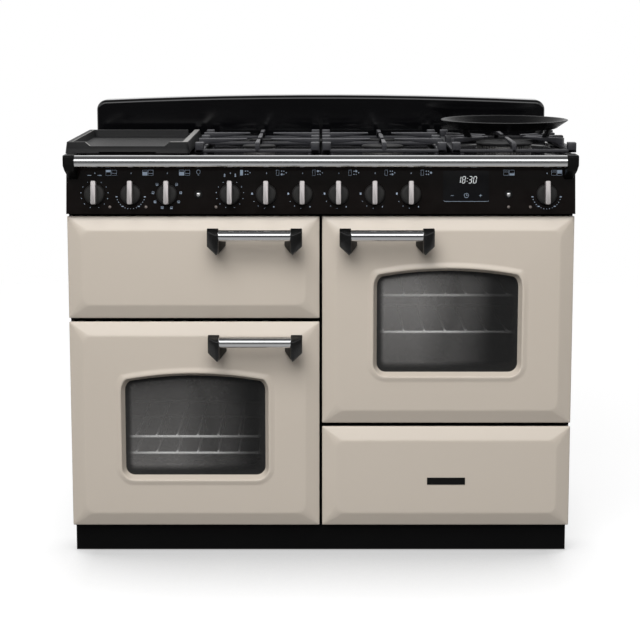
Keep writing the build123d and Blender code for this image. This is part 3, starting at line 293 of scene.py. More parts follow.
COLUMN_X = 276
BACK_D = 600
LOUVRE_PROUD, LOUVRE_H, LOUVRE_HALF = 3, 13, 80
bm = bmesh.new()
for x_mid in (-COLUMN_X, COLUMN_X):
    for row in range(9):
        z = 330 + 34 * row
        for x in (x_mid - 95, x_mid + 95):
            hood = box(bm, x - LOUVRE_HALF, x + LOUVRE_HALF, BACK_D - 4, BACK_D + LOUVRE_PROUD, z, z + LOUVRE_H)
            for corner in hood:
                if corner.co.y > at(0, BACK_D + 2, 0).y and corner.co.z > (z + LOUVRE_H / 2) / 1000:
                    corner.co.y -= 0.0045
            soften(bm, 2.0, 3, verts=hood)
make("rear_louvres", bm, zinc_sheet, "body")

bm = bmesh.new()
spots = [(x, z) for z in (SHEET_FOOT, 280, 480, 680, SHEET_HEAD) for x in (-540, 540)]
spots += [(x, z) for x in (-360, -180, 0, 180, 360) for z in (SHEET_FOOT, SHEET_HEAD)]
for x, z in spots:
    screw(bm, at(x, BACK_D, z), (0, 1, 0))
make("rear_screws", bm, zinc_sheet, "body")

black_rubber = coat("black_rubber", {}, grained(
    (0.012, 0.012, 0.012), (0.022, 0.022, 0.021), (420, 3.0), (0.55, 0.75), relief=(0.15, 0.0004)))
bm = bmesh.new()
GROMMET = ((10.2, 2.2), (11.5, 3.0), (14.5, 2.6), (15.5, 0.8), (15.5, -0.2))
lathe(bm, GROMMET, at(-480, BACK_D, 130), (0, 1, 0), (1, 0, 0), steps=32)
make("cable_grommet", bm, black_rubber, "body")


# Oven and grill cavities: pressed steel boxes in dark speckled vitreous enamel, flanged to the frame.
# Fan covers, grill pan and the inner faces of the doors are fired in the same enamel.
def speckled_enamel(pen):
    specks = pen.node("TexVoronoi", {"feature": "F1"}, {"Vector": pen.place(), "Scale": 260.0})
    fleck = specks.spread(0.10, 0.22, 1.0, 0.0) * pen.noise(90, 1.0).spread(0.45, 0.6)
    wave = pen.noise(35, 2.0)
    return {
        "Base Color": pen.tint(fleck, (0.024, 0.024, 0.026), (0.16, 0.16, 0.17)),
        "Roughness": wave.spread(0.3, 0.7, 0.20, 0.32),
        "Normal": pen.bump(wave, 0.08, 0.002),
    }


cavity_enamel = coat("speckled_cavity_enamel", {"Coat Weight": 0.3, "Coat Roughness": 0.12}, speckled_enamel)
finish_node(cavity_enamel, "grill_liner", "left_oven_liner", "right_oven_liner", "fan_covers", "grill_pan",
            "grill_door_liner", "left_door_liner", "right_door_liner")


# Oven shelves: drawn steel wire, welded into grids, plated and slid in on the ribs of the cavity sides.
# Painted light: the front wires are painted bright as if lit through the window, and the wires further in are
# painted dark as painted shade inside the cavity.
def bright_plate(pen):
    haze = pen.noise(14, 3.0)
    return {
        "Base Color": pen.tint(haze, (0.66, 0.665, 0.675), (0.76, 0.765, 0.77)),
        "Roughness": pen.noise(160, 2.0).spread(0.35, 0.65, 0.05, 0.11),
    }


def satin_wire(pen):
    inward = pen.along(1) * 1000 + DOOR_FACE
    # painted light and shade by depth: bright at the front wire, dark further in, with a little random tone
    painted_front_light = inward.spread(77, 110, 1.0, 0.12) + pen.noise(40, 3.0) * 0.1
    return {
        "Base Color": pen.tint(painted_front_light, (0.14, 0.135, 0.13), (0.92, 0.92, 0.91)),
        "Roughness": pen.noise(260, 2.0).spread(0.35, 0.65, 0.28, 0.40),
    }


def turned(bm, outline, x, d, steps, z=0):
    """Spin an outline round an upright axis."""
    lathe(bm, outline, at(x, d, z), (0, 0, 1), (1, 0, 0), steps)


chrome = coat("bright_chrome_plate", {"Metallic": 1.0}, bright_plate)
shelf_wire = coat("satin_plated_wire", {"Metallic": 0.1}, satin_wire)
finish_node(shelf_wire, "oven_shelves")
BAR_END = ((0, 5.6), (1.2, 5.4), (2.0, 4.6), (2.0, 1.0))
BAR_PITCH = 46
bm = bmesh.new()
for x_mid, z in ((-COLUMN_X, 213), (-COLUMN_X, 251), (COLUMN_X, 489), (COLUMN_X, 572)):
    for bar in range(-4, 5):
        turned(bm, BAR_END, x_mid + BAR_PITCH * bar, 75, 10, z)
make("shelf_bar_ends", bm, shelf_wire, "body")


# Door seals: cord of braided glass fibre, clipped into the front frame round each cavity mouth.
# The doors press it flat where they shut.
def braid(pen):
    weave = pen.node("TexWave", {"wave_type": "BANDS", "bands_direction": "DIAGONAL"},
                     {"Vector": pen.place(), "Scale": 170.0, "Distortion": 2.0, "Detail": 1.0}, out=1)
    return {
        "Base Color": pen.tint(weave, (0.035, 0.034, 0.033), (0.11, 0.108, 0.105)),
        "Roughness": weave.spread(0.0, 1.0, 0.85, 0.7),
        "Normal": pen.bump(weave, 0.6, 0.0008),
    }


def opened(bm, known):
    """Take away the one face that wasn't there before and keep the loop of edges round it."""
    face = next(face for face in bm.faces if face not in known)
    loop = list(face.edges)
    bmesh.ops.delete(bm, geom=[face], context="FACES_ONLY")
    return loop


def hoop(bm, spot, width, height, corner, level=False, steps=6):
    """A rounded rectangle that faces the front or lies level; returns its loop of edges."""
    known = set(bm.faces)
    stand = Matrix() if level else Matrix.Rotation(radians(90), 4, "X")
    shape = Matrix.Translation(spot) @ stand @ Matrix.Diagonal((width / 1000, height / 1000, 1, 1))
    corners = bmesh.ops.create_grid(bm, x_segments=1, y_segments=1, size=0.5, matrix=shape)["verts"]
    bmesh.ops.bevel(bm, geom=corners, offset=corner / 1000, segments=steps, profile=0.5, affect="VERTICES",
                    material=-1)
    return opened(bm, known)


def skin(bm, loops):
    """Lay faces between each loop of edges and the next."""
    for outer, inner in zip(loops, loops[1:]):
        bmesh.ops.bridge_loops(bm, edges=outer + inner)


seal_braid = coat("braided_seal", {}, braid)
CORD = ((0.0, 48.0), (0.1, 46.4), (1.3, 45.0), (4.0, 44.5), (6.7, 45.0), (7.9, 46.4), (8.0, 47.9))
SEAL_W, SEAL_R = 472, 14
bm = bmesh.new()
for x_mid, z_mid, height in ((-COLUMN_X, 644, 186), (-COLUMN_X, 295, 406), (COLUMN_X, 527, 406)):
    skin(bm, [hoop(bm, at(x_mid, d, z_mid), SEAL_W - 2 * inset, height - 2 * inset, SEAL_R - inset)
              for inset, d in CORD])
outward(bm)
make("door_seals", bm, seal_braid, "body")


# Door and drawer fronts: pressed steel in warm stone gloss enamel paint, baked on.
# Each has a flat field, a sloping border with soft folds and, on the ovens, a raised window moulding.
FRONT_W, TALL, SHORT = 546, 458, 224
FRONT_FOOT, GRILL_FOOT, RIGHT_FOOT = 66, 532, 298
SILL = 114
WINDOW_HALF, WINDOW_H, WINDOW_RISE, WINDOW_R = 154.0, 224.0, 14.5, 20.0
MOULDING = ((23.0, 0.0), (21.0, -0.05), (18.5, -0.5), (16.0, -1.2), (13.5, -1.9), (11.5, -2.35), (9.8, -2.5),
            (8.4, -2.2), (7.4, -1.3), (6.7, 0.2), (5.6, 2.6), (2.9, 8.2), (0.6, 12.8), (0.0, 13.9))


def window_loop(bm, x_mid, sill, grow, d):
    """An upright oven-window outline with an arched head; returns its loop of edges."""
    known = set(bm.faces)
    half = WINDOW_HALF + grow
    arch = (WINDOW_HALF ** 2 + WINDOW_RISE ** 2) / (2 * WINDOW_RISE) + grow
    centre = sill + WINDOW_H + grow - arch
    shoulder = centre + sqrt(arch ** 2 - half ** 2)
    foot = [bm.verts.new(at(x_mid + i * half, d, sill - grow)) for i in (-1, 1)]
    head = [bm.verts.new(at(x_mid + i * half, d, shoulder)) for i in (1, -1)]
    lintel = bm.edges.new(head)
    sides = [bm.edges.new(pair) for pair in ((head[1], foot[0]), foot, (foot[1], head[0]))]
    cut = bmesh.ops.subdivide_edges(bm, edges=[lintel], cuts=23)
    for vert in cut["geom_inner"]:
        if isinstance(vert, bmesh.types.BMVert):
            across = vert.co.x * 1000 - x_mid
            vert.co.z = (centre + sqrt(arch ** 2 - across ** 2)) / 1000
    arched = [item for item in cut["geom_split"] if isinstance(item, bmesh.types.BMEdge)]
    bmesh.ops.contextual_create(bm, geom=arched + sides)
    face = next(face for face in bm.faces if face not in known)
    corners = [v for v in face.verts if abs(abs(v.co.x * 1000 - x_mid) - half) < 0.01]
    bmesh.ops.bevel(bm, geom=corners, offset=(WINDOW_R + grow) / 1000, segments=8, profile=0.5, affect="VERTICES",
                    material=-1)
    return opened(bm, known)


def pressed_front(x_mid, z0, height, sill=None):
    """A pressed door or drawer front; a sill height above its foot gives it a window."""
    bm = bmesh.new()
    rings = [(16.0, 2.0, 13.9), (0.0, 2.0, 14.0), (0.0, 2.0, 12.4), (0.4, 2.0, 11.5), (1.3, 2.2, 10.9)]
    for step in range(1, 9):
        share = step / 8
        rings.append((1.3 + 25.7 * share, 2.2 + 16.0 * share, 10.9 - 9.6 * share))
    rings += [(28.4, 19.0, 0.82), (29.8, 19.8, 0.44), (31.2, 20.6, 0.18), (32.6, 21.4, 0.05), (34.0, 22.2, 0.0)]
    loops = [hoop(bm, at(x_mid, d, z0 + height / 2), FRONT_W - 2 * inset, height - 2 * inset, corner, steps=8)
             for inset, corner, d in rings]
    skin(bm, loops)
    if sill is None:
        bmesh.ops.contextual_create(bm, geom=loops[-1])
    else:
        mould = [window_loop(bm, x_mid, z0 + sill, grow, d) for grow, d in MOULDING]
        skin(bm, mould)
        bmesh.ops.triangle_fill(bm, edges=loops[-1] + mould[0], use_beauty=True, normal=(0, -1, 0))
    outward(bm)
    return bm


stone_gloss = coat("stone_gloss_paint", {"Coat Weight": 0.35, "Coat Roughness": 0.18}, grained(
    (0.524, 0.464, 0.396), (0.542, 0.482, 0.413), (2.2, 2.0), (0.30, 0.36), (40, 3.0), (0.03, 0.0010),
    (210, 2.0, 0.45)))
for name, body, gone, x_mid, z0, height, sill in (
        ("grill_door_skin", "grill_door", "grill_door_panel", -COLUMN_X, GRILL_FOOT, SHORT, None),
        ("left_oven_door_skin", "left_oven_door", "left_door_panel", -COLUMN_X, FRONT_FOOT, TALL, SILL),
        ("right_oven_door_skin", "right_oven_door", "right_door_panel", COLUMN_X, RIGHT_FOOT, TALL, SILL),
        ("drawer_skin", "drawer", "drawer_front", COLUMN_X, FRONT_FOOT, SHORT, None)):
    make(name, pressed_front(x_mid, z0, height, sill), stone_gloss, body, [gone], 60)


# Oven windows: two panes of heat-resisting glass behind the moulding, with an air gap between them.
# The outer pane is coated on one side with a smoky film, denser at its edges; over it lies a painted reflection,
# brightest at the left and fading to the right, where the film is made denser too; the inner is clear.
def smoky_glass_with_painted_reflection(x_mid, sill, fade, climb, bright):
    """A pattern for one pane: where its painted reflection fades to the right, how it climbs and its brightest
    tone.
    """
    def pattern(pen):
        across = pen.along(0) * 1000 - x_mid
        up = pen.along(2) * 1000 - sill
        drift = (pen.noise(7, 2.0) - 0.5) * 40
        # Painted reflection: bright at the left, fading to the right, and rising or falling with height.
        painted_reflection = (across + drift).spread(*fade, 1.0, 0.03) * up.spread(*climb)
        head = WINDOW_H - across * across * 0.00061 - up
        sides = (across + WINDOW_HALF).spread(2, 18) * (WINDOW_HALF - across).spread(2, 18)
        border = sides * up.spread(3, 26) * head.spread(1, 12)
        level = painted_reflection ** 1.4 * (0.02 + border ** 3 * 0.98)
        return {
            "Base Color": pen.tint(level, (0.020, 0.020, 0.020), bright),
            "Roughness": pen.noise(30, 2.0).spread(0.3, 0.7, 0.05, 0.09),
            "Alpha": (1.0 - border) * 0.93 + border * painted_reflection.spread(0.0, 0.5, 0.55, 0.16),
        }
    return pattern


inner_glass = coat("clear_inner_pane", {"Alpha": 0.06, SHINE: 0.3}, grained(
    (0.020, 0.022, 0.021), (0.030, 0.032, 0.031), (25, 2.0), (0.04, 0.08)))
LAP = 18
for name, x_mid, foot, fade, climb, bright in (
        ("left", -COLUMN_X, FRONT_FOOT, (-30, 126), (30, 215, 1.0, 0.58), (0.41, 0.40, 0.392)),
        ("right", COLUMN_X, RIGHT_FOOT, (-64, 98), (15, 150, 0.68, 1.0), (0.54, 0.527, 0.516))):
    sill = foot + SILL
    outer_glass = coat(f"{name}_tinted_pane_painted_reflection", {SHINE: 0.12},
                       smoky_glass_with_painted_reflection(x_mid, sill, fade, climb, bright))
    for pane, d0, d1, material, gone in (("outer", 14.2, 17.8, outer_glass, [f"{name}_door_glass"]),
                                         ("inner", 38.7, 42.3, inner_glass, [])):
        bm = bmesh.new()
        box(bm, x_mid - WINDOW_HALF - LAP, x_mid + WINDOW_HALF + LAP, d0, d1, sill - LAP, sill + WINDOW_H + LAP)
        soften(bm, 0.5, 2)
        make(f"{name}_{pane}_pane", bm, material, f"{name}_oven_door", gone)


# Handles: chrome-plated steel tube between two moulded black ends, each with a foot bolted through the door.
# Each end is one faceted moulding, rubbed to a shine on the side that faces out.
moulded_black = grained(
    (0.0042, 0.0042, 0.0042), (0.0068, 0.0068, 0.0068), (9, 2.0), (0.30, 0.40), (650, 2.0), (0.06, 0.0004))


def rubbed_black(pen):
    forward = pen.along(1) * 1000 + DOOR_FACE
    return {**moulded_black(pen), "Coat Weight": forward.spread(-42, -32, 1.0, 0.0)}


satin_black = coat("satin_black_moulding", {SHINE: 0.09}, moulded_black)
grip_black = coat("rubbed_black_grip", {SHINE: 0.09, "Coat Roughness": 0.2}, rubbed_black)
HEAD = ((0, -30, 0), (25, -30, 0), (0, -39, -6), (18.5, -54, -12), (25, -52.3, -10), (18.5, -54, -51),
        (20.5, -49, -57), (25, -52.3, -49), (0, -39, -39), (0, -30, -37), (25, -30, -55))
FOOT = ((9, -36, -26), (25, -36, -26), (9, -36, -48), (20, -38, -56), (25, -36, -55),
        (13, 0.3, -28), (37, 0.3, -28), (39, 0.3, -34), (39, 0.3, -42), (22, 0.3, -57), (13, 0.3, -52))
TUBE = ((0, 24), (9, 24), (11.2, 24.2), (12.0, 25.4), (12.0, 26.4), (12.0, 177.6), (12.0, 178.6), (11.2, 179.8),
        (9, 180), (0, 180))
HANDLE_W, HANDLE_D, HEAD_TOP = 204, -40, 15


def handle(name, body, x0, z):
    """The tube and both ends of one handle, from its left end."""
    bm = bmesh.new()
    lathe(bm, TUBE, at(x0, HANDLE_D, z), (1, 0, 0), (0, 0, 1), 64)
    make(f"{name}_handle_tube", bm, chrome, body, [f"{name}_handle_bar"])
    bm = bmesh.new()
    for start, inward in ((x0, 1), (x0 + HANDLE_W, -1)):
        for points in (HEAD, FOOT):
            block = [bm.verts.new(at(start + inward * across, d, z + HEAD_TOP + up)) for across, d, up in points]
            bmesh.ops.convex_hull(bm, input=block, use_existing_faces=False)
    bmesh.ops.dissolve_limit(bm, angle_limit=0.01, verts=list(bm.verts), edges=list(bm.edges))
    outward(bm)
    soften(bm, 1.5, 3, 12)
    make(f"{name}_handle_grips", bm, grip_black, body, [f"{name}_handle_ends"])


handle("grill", "grill_door", -244, 720)
handle("left", "left_oven_door", -244, 488)
handle("right", "right_oven_door", 40, 720)


# Drawer plate: a small blank plate, stamped from thin metal, painted satin black
# and stuck to the middle of the drawer front.
bm = bmesh.new()
box(bm, 234, 318, -1.1, 0.2, 161, 177)
soften(bm, 0.8, 3)
make("drawer_plate", bm, satin_black, "drawer")


# Control panel: a pressed steel fascia that leans back, sprayed in black gloss
# and pierced for the knob spindles, the two lamp buttons and the clock.
PANEL_FOOT = 762
LEAN_D, LEAN_H = 15.0, 100.0
LEAN = atan2(LEAN_D, LEAN_H)
panel_up = Vector((0, sin(LEAN), cos(LEAN)))
panel_out = Vector((0, -cos(LEAN), sin(LEAN)))
fascia_black = coat("gloss_black_fascia", {SHINE: 0.07}, grained(
    (0.0034, 0.0025, 0.0022), (0.0050, 0.0037, 0.0033), (4, 2.0), (0.12, 0.20), (30, 3.0),
    (0.02, 0.001), (120, 2.0)))
finish_node(fascia_black, "control_panel")


def on_panel(x, z, turn=0.0):
    """Placement on the fascia: X across it, Y up it and Z out of it."""
    facing = Matrix((Vector((1, 0, 0)), panel_up, panel_out)).transposed().to_4x4()
    spot = at(x, LEAN_D * (z - PANEL_FOOT) / LEAN_H, z)
    return Matrix.Translation(spot) @ facing @ Matrix.Rotation(turn, 4, "Z")


def stud(bm, outline, x, z, steps):
    """Spin an outline round an axis that stands out of the fascia."""
    lathe(bm, outline, on_panel(x, z).translation, panel_out, (1, 0, 0), steps)


# Knobs: a round skirt of black plastic moulded on its spindle, and a satin metal grip bar pressed into it.
# The bar is cut from brushed strip and stands nearer the end that points at the marks.
skirt_black = coat("knob_skirt_moulding", {SHINE: 0.16}, grained(
    (0.014, 0.0137, 0.0133), (0.019, 0.0185, 0.018), (30, 2.0), (0.34, 0.46), (650, 2.0), (0.06, 0.0004)))
satin_metal = coat("satin_metal_bar", {"Metallic": 0.45}, grained(
    (0.34, 0.32, 0.32), (0.45, 0.425, 0.42), (240, 2.0, 0.6, (14, 1, 1)), (0.30, 0.44), relief=(0.05, 0.0003)))
SKIRT = ((0, 9.9), (12, 10.2), (17.5, 10.1), (20.3, 9.2), (21.8, 7.4), (22.4, 5.0), (22.5, 1.0), (22.1, 0.3),
         (3.0, 0.3), (3.0, -24.0), (0, -24.0))
KNOB_XS = (-488, -410, -332, -196, -118, -40, 38, 116, 194, 487)
KNOB_Z = 804
GRIP_SPOT, GRIP_SIZE = (0, 0.0028, 0.0185), (0.0106, 0.0505, 0.0195)
for number, x in enumerate(KNOB_XS, 1):
    bm = bmesh.new()
    stud(bm, SKIRT, x, KNOB_Z, 56)
    make(f"knob_{number}_skirt", bm, skirt_black, f"knob_{number}", [f"knob_{number}"])
    bm = bmesh.new()
    block(bm, on_panel(x, KNOB_Z) @ Matrix.Translation(GRIP_SPOT), GRIP_SIZE)
    uprights = [e for e in bm.edges if abs((e.verts[0].co - e.verts[1].co).normalized().dot(panel_out)) > 0.9]
    bmesh.ops.bevel(bm, geom=uprights, offset=0.0030, segments=4, profile=0.5, affect="EDGES", material=-1)
    soften(bm, 0.9, 3, 50)
    make(f"knob_{number}_bar", bm, satin_metal, f"knob_{number}")


# Lamp buttons and indicator lamps: turned and plated push buttons in black moulded wells,
# and small domed lenses moulded in smoky plastic and pressed into the fascia.
PIN = ((0, 3.4), (2.4, 3.2), (4.1, 2.4), (4.9, 1.2), (4.9, -6.5), (6.9, -6.5), (6.9, -8.2), (0, -8.2))
WELL = ((5.4, 0.0), (5.6, 0.9), (6.8, 1.2), (8.6, 0.8), (9.2, 0.0))
LENS = ((0, 1.3), (1.6, 1.1), (2.7, 0.5), (3.2, 0.0), (3.2, -0.2))
LEFT_LAMP_X, RIGHT_LAMP_X = -264, 405
LENS_Z = 777
for name, x in (("left_lamp_button", LEFT_LAMP_X), ("right_lamp_button", RIGHT_LAMP_X)):
    bm = bmesh.new()
    stud(bm, PIN, x, KNOB_Z, 28)
    make(f"{name}_cap", bm, chrome, name, [name])
bm = bmesh.new()
for x in (LEFT_LAMP_X, RIGHT_LAMP_X):
    stud(bm, WELL, x, KNOB_Z, 32)
make("button_wells", bm, satin_black, "body")

smoky_lens = coat("smoky_lamp_lens", {}, grained(
    (0.09, 0.076, 0.07), (0.16, 0.137, 0.125), (300, 2.0), (0.25, 0.4)))
bm = bmesh.new()
for x in (-455, -377, -226, RIGHT_LAMP_X, 452):
    stud(bm, LENS, x, LENS_Z, 20)
make("indicator_lamps", bm, smoky_lens, "body")


# Printed marks: pale ink, screen printed on the fascia and baked.
# Each knob has its zone in miniature and its dial steps or gas levels; the left lamp button has a bulb.
screen_ink = coat("pale_screen_ink", {}, grained((0.31, 0.39, 0.50), (0.40, 0.48, 0.60), (500, 2.0), (0.45, 0.6)))
INK = 0.00012
ICON_Z = 850


def dash(bm, x, z, width, height, turn=0.0):
    """A printed bar, in millimetres."""
    block(bm, on_panel(x, z, turn) @ Matrix.Translation((0, 0, INK / 2)), (width / 1000, height / 1000, INK))


def dot(bm, x, z, r, sides=10, turn=0.0):
    """A printed dot, or a patch with a few sides."""
    bmesh.ops.create_cone(bm, cap_ends=True, segments=sides, radius1=r / 1000, radius2=r / 1000, depth=INK,
                          matrix=on_panel(x, z, turn) @ Matrix.Translation((0, 0, INK / 2)))


def outline(bm, x, z, width, height, line=0.42):
    """A printed rectangle, drawn as four bars."""
    for side in (-1, 1):
        dash(bm, x + side * width / 2, z, line, height + line)
        dash(bm, x, z + side * height / 2, width + line, line)


def around(x, r, angle):
    """A place round a knob, with the angle in degrees clockwise from its top."""
    return x + r * sin(radians(angle)), KNOB_Z + r * cos(radians(angle))


def flame(bm, x, z, size):
    """A small printed flame: a round foot with a pointed top."""
    dot(bm, x, z, size * 0.55)
    dot(bm, x, z + size * 0.45, size * 0.6, 3, pi / 2)


def oven_icon(bm, x, filled, upper):
    """The four doors in miniature, with one filled in: left (-1) or right (1), upper or lower."""
    for side in (-1, 1):
        middle = x + side * 6.2
        split = ICON_Z - side * 1.5 + 0.1
        outline(bm, middle, ICON_Z, 10.4, 11.2)
        dash(bm, middle, split, 10.4, 0.55)
        if side == filled:
            low, high = (split, ICON_Z + 5.6) if upper else (ICON_Z - 5.6, split - 0.5)
            dash(bm, middle, (low + high) / 2, 10.0, high - low)


def hob_icon(bm, x, zone):
    """The hob in miniature: griddle, four burners and wok burner, with one filled in."""
    outline(bm, x - 8.0, ICON_Z, 5.6, 11.5)
    if zone == 0:
        dash(bm, x - 8.0, ICON_Z, 5.2, 11.0)
    for number, (across, up) in enumerate(((0.6, -3.4), (0.6, 3.4), (5.4, 3.4), (5.4, -3.4), (10.6, 0)), 1):
        size = (2.3, 10) if number == zone else (1.25, 6)
        dot(bm, x + across, ICON_Z + up, *size)


grill_x, left_x, function_x, griddle_x, *gas_xs, right_x = KNOB_XS
bm = bmesh.new()
for x in KNOB_XS:
    dash(bm, x + 1, 849, 1.5, 2.8)
for x, filled, upper in ((-452, -1, True), (-373, -1, False), (-294, -1, False), (406, 1, False), (509, 1, True)):
    oven_icon(bm, x, filled, upper)
for zone, x in enumerate((griddle_x, *gas_xs)):
    hob_icon(bm, x + 33, zone)
for x in (grill_x, griddle_x):
    for side in (-1, 1):
        for angle in (30, 58, 83, 108, 134, 162):
            dot(bm, *around(x, 29.5, side * angle), 0.85)
for side in (-1, 1):
    dash(bm, grill_x + side * 11, 844.5, 8.5, 1.3)
    dot(bm, griddle_x + side * 11.5, 846.5, 1.5)
    dot(bm, griddle_x + side * 11.5, 843.0, 1.9)
for x in (left_x, right_x):
    for step in range(15):
        place = around(x, 31.0, 100 + 160 * step / 14)
        if step in (0, 4, 10, 14):
            dash(bm, *place, 4.2, 1.6)
        else:
            dot(bm, *place, 0.8, 8)
for step in range(8):
    x, z = around(function_x, 30.0, 45 + 270 * step / 7)
    outline(bm, x, z, 4.6, 4.6, 0.5)
    dash(bm, x, z - 0.8 + 0.5 * (step % 3), 3.0, 0.7)
    dash(bm, x, z - 1.6, 3.6 if step % 2 else 2.0, 0.6)
for x in gas_xs:
    flame(bm, x - 30, KNOB_Z + 1, 3.4)
    for angle in (240, 214, 186):
        dot(bm, *around(x, 30.0, angle), 0.75)
    flame(bm, *around(x, 31.5, 148), 2.0)
for step in range(9):
    angle = radians(-140 + 280 * step / 8)
    dash(bm, LEFT_LAMP_X + 4.0 * sin(angle), 852 + 4.0 * cos(angle), 2.6, 0.6, -angle)
for z, width in ((846.6, 3.2), (845.0, 2.4)):
    dash(bm, LEFT_LAMP_X, z, width, 0.7)
make("printed_marks", bm, screen_ink, "body")


# Clock: a pane of black glass let into the fascia, with lit plastic segments that show through it.
# Its touch marks are printed below the pane, and a thin bracket line closes them off.
def lit_segment(pen):
    glow = pen.noise(60, 1.0)
    return {
        "Base Color": pen.tint(glow, (0.60, 0.64, 0.66), (0.70, 0.73, 0.74)),
        "Emission Color": pen.tint(glow, (0.78, 0.82, 0.84), (0.90, 0.93, 0.94)),
    }


clock_glass = coat("black_clock_glass", {SHINE: 0.14}, grained(
    (0.0030, 0.0032, 0.0036), (0.0052, 0.0054, 0.0060), (20, 2.0), (0.06, 0.10)))
clock_light = coat("lit_clock_segments", {"Roughness": 0.5, "Emission Strength": 0.6}, lit_segment)
finish_node(clock_glass, "clock_window")
SEGMENTS = {"0": "abcdef", "1": "bc", "3": "abgcd", "8": "abcdefg"}
WHERE = {"a": (0, 7, 0), "b": (3, 3.5, 1), "c": (3, -3.5, 1), "d": (0, -7, 0), "e": (-3, -3.5, 1),
         "f": (-3, 3.5, 1), "g": (0, 0, 0)}
DIGIT_Z, DIGIT_LEAN = 835, 0.17
bm = bmesh.new()
for digit, x in (("1", 298.5), ("8", 308.5), ("3", 322.5), ("0", 332.5)):
    for name in SEGMENTS[digit]:
        across, up, upright = WHERE[name]
        turn = -DIGIT_LEAN if upright else 0.0
        size = (1.05, 6.0) if upright else (4.6, 1.05)
        dash(bm, x + across + DIGIT_LEAN * up, DIGIT_Z + up, *size, turn)
for up in (-3, 3):
    dot(bm, 316 + DIGIT_LEAN * up, DIGIT_Z + up, 0.8, 8)
make("clock_digits", bm, clock_light, "body")

TOUCH_Z = 801.5
MINUS_X, DIAL_X, PLUS_X, BRACKET_X = 283.5, 314, 344.5, 313.5
bm = bmesh.new()
dash(bm, MINUS_X, TOUCH_Z, 6.0, 0.6)
dash(bm, PLUS_X, TOUCH_Z, 6.0, 0.6)
dash(bm, PLUS_X, TOUCH_Z, 0.6, 6.0)
for step in range(14):
    angle = 2 * pi * step / 14
    dash(bm, DIAL_X + 4.6 * sin(angle), TOUCH_Z + 4.6 * cos(angle), 2.4, 0.55, -angle)
dash(bm, DIAL_X, TOUCH_Z + 1.5, 0.55, 3.2)
dash(bm, DIAL_X + 1.2, TOUCH_Z, 2.6, 0.55)
dash(bm, BRACKET_X, 788.9, 94, 0.5)
for side in (-1, 1):
    dash(bm, BRACKET_X + side * 47.8, 789.7, 2.4, 0.5, side * 0.8)
make("clock_marks", bm, screen_ink, "body")


# Hand rail: one long chrome-plated steel tube, held clear of the fascia by a bracket at each end.
# The brackets are castings painted satin black, bolted through the top of the fascia.
RAIL = ((0, -526), (12.0, -526), (13.0, -525), (13.0, 525), (12.0, 526), (0, 526))
BRACKET = ((-36, 892), (-39, 889), (-39, 870), (-30, 858), (3, 838), (11.4, 838), (15, 862), (15, 892))
BRACKET_IN, BRACKET_OUT = 525, 549
bm = bmesh.new()
lathe(bm, RAIL, at(0, -25, 878), (1, 0, 0), (0, 0, 1), 72)
make("hand_rail_tube", bm, chrome, "body", ["hand_rail"])
bm = bmesh.new()
for side in (-1, 1):
    points = []
    for d, z in BRACKET:
        narrow = 6.0 * max(0, 868 - z) / 30
        points += [bm.verts.new(at(side * x, d, z)) for x in (BRACKET_IN, BRACKET_OUT - narrow)]
    bmesh.ops.convex_hull(bm, input=points)
bmesh.ops.dissolve_limit(bm, angle_limit=radians(2), verts=list(bm.verts), edges=list(bm.edges))
soften(bm, 1.8, 4, 20)
make("rail_end_brackets", bm, satin_black, "body", ["rail_brackets"])


# Hob top: one pressed steel sheet in glossy black vitreous enamel,
# with a raised rim all round and a dished well for each burner.
def ring(bm, x, d, z, r, steps=72):
    """A level circle; returns its edges."""
    verts = bmesh.ops.create_circle(bm, segments=steps, radius=r / 1000,
                                    matrix=Matrix.Translation(at(x, d, z)))["verts"]
    return list({edge for vert in verts for edge in vert.link_edges})


gloss_enamel = grained(
    (0.0012, 0.0012, 0.0015), (0.0022, 0.0022, 0.0027), (8, 2.0),
    (0.07, 0.12), relief=(0.03, 0.0004), peel=(120, 2.0))
hob_enamel = coat("gloss_black_enamel", {SHINE: 0.32}, gloss_enamel)
HOB_W, HOB_L, HOB_D = 1100, 527, 278.5
HOB_EDGE = ((0.0, 7.0, 862.0), (0.0, 7.0, 886.4), (0.5, 6.8, 887.5), (1.8, 6.2, 888.0), (7.6, 4.5, 887.9),
            (9.0, 4.0, 887.3), (10.4, 4.0, 885.6), (12.0, 4.0, 885.0))
DISH = ((0, 885.0), (2.0, 884.9), (4.5, 884.3), (8.0, 883.2), (12.0, 882.4), (18.0, 882.05))
GRATE_X, FRONT_D, REAR_D = 138, 169, 347
WOK_X, WOK_D = 420, 258
BURNERS = ((-GRATE_X, FRONT_D, 34, 82), (-GRATE_X, REAR_D, 26, 82), (GRATE_X, FRONT_D, 44, 82),
           (GRATE_X, REAR_D, 34, 82), (WOK_X, WOK_D, 62, 122))
bm = bmesh.new()
loops = [hoop(bm, at(0, HOB_D, z), HOB_W - 2 * inset, HOB_L - 2 * inset, corner, level=True)
         for inset, corner, z in HOB_EDGE]
skin(bm, loops)
lips = []
for x, d, r, well in BURNERS:
    dish = [ring(bm, x, d, z, well - inset) for inset, z in DISH] + [ring(bm, x, d, 882.0, r - 5)]
    skin(bm, dish)
    lips += dish[0]
bmesh.ops.triangle_fill(bm, edges=loops[-1] + lips, use_beauty=True, normal=(0, 0, 1))
outward(bm)
make("hob_sheet", bm, hob_enamel, "body", ["hob_top"], 50)


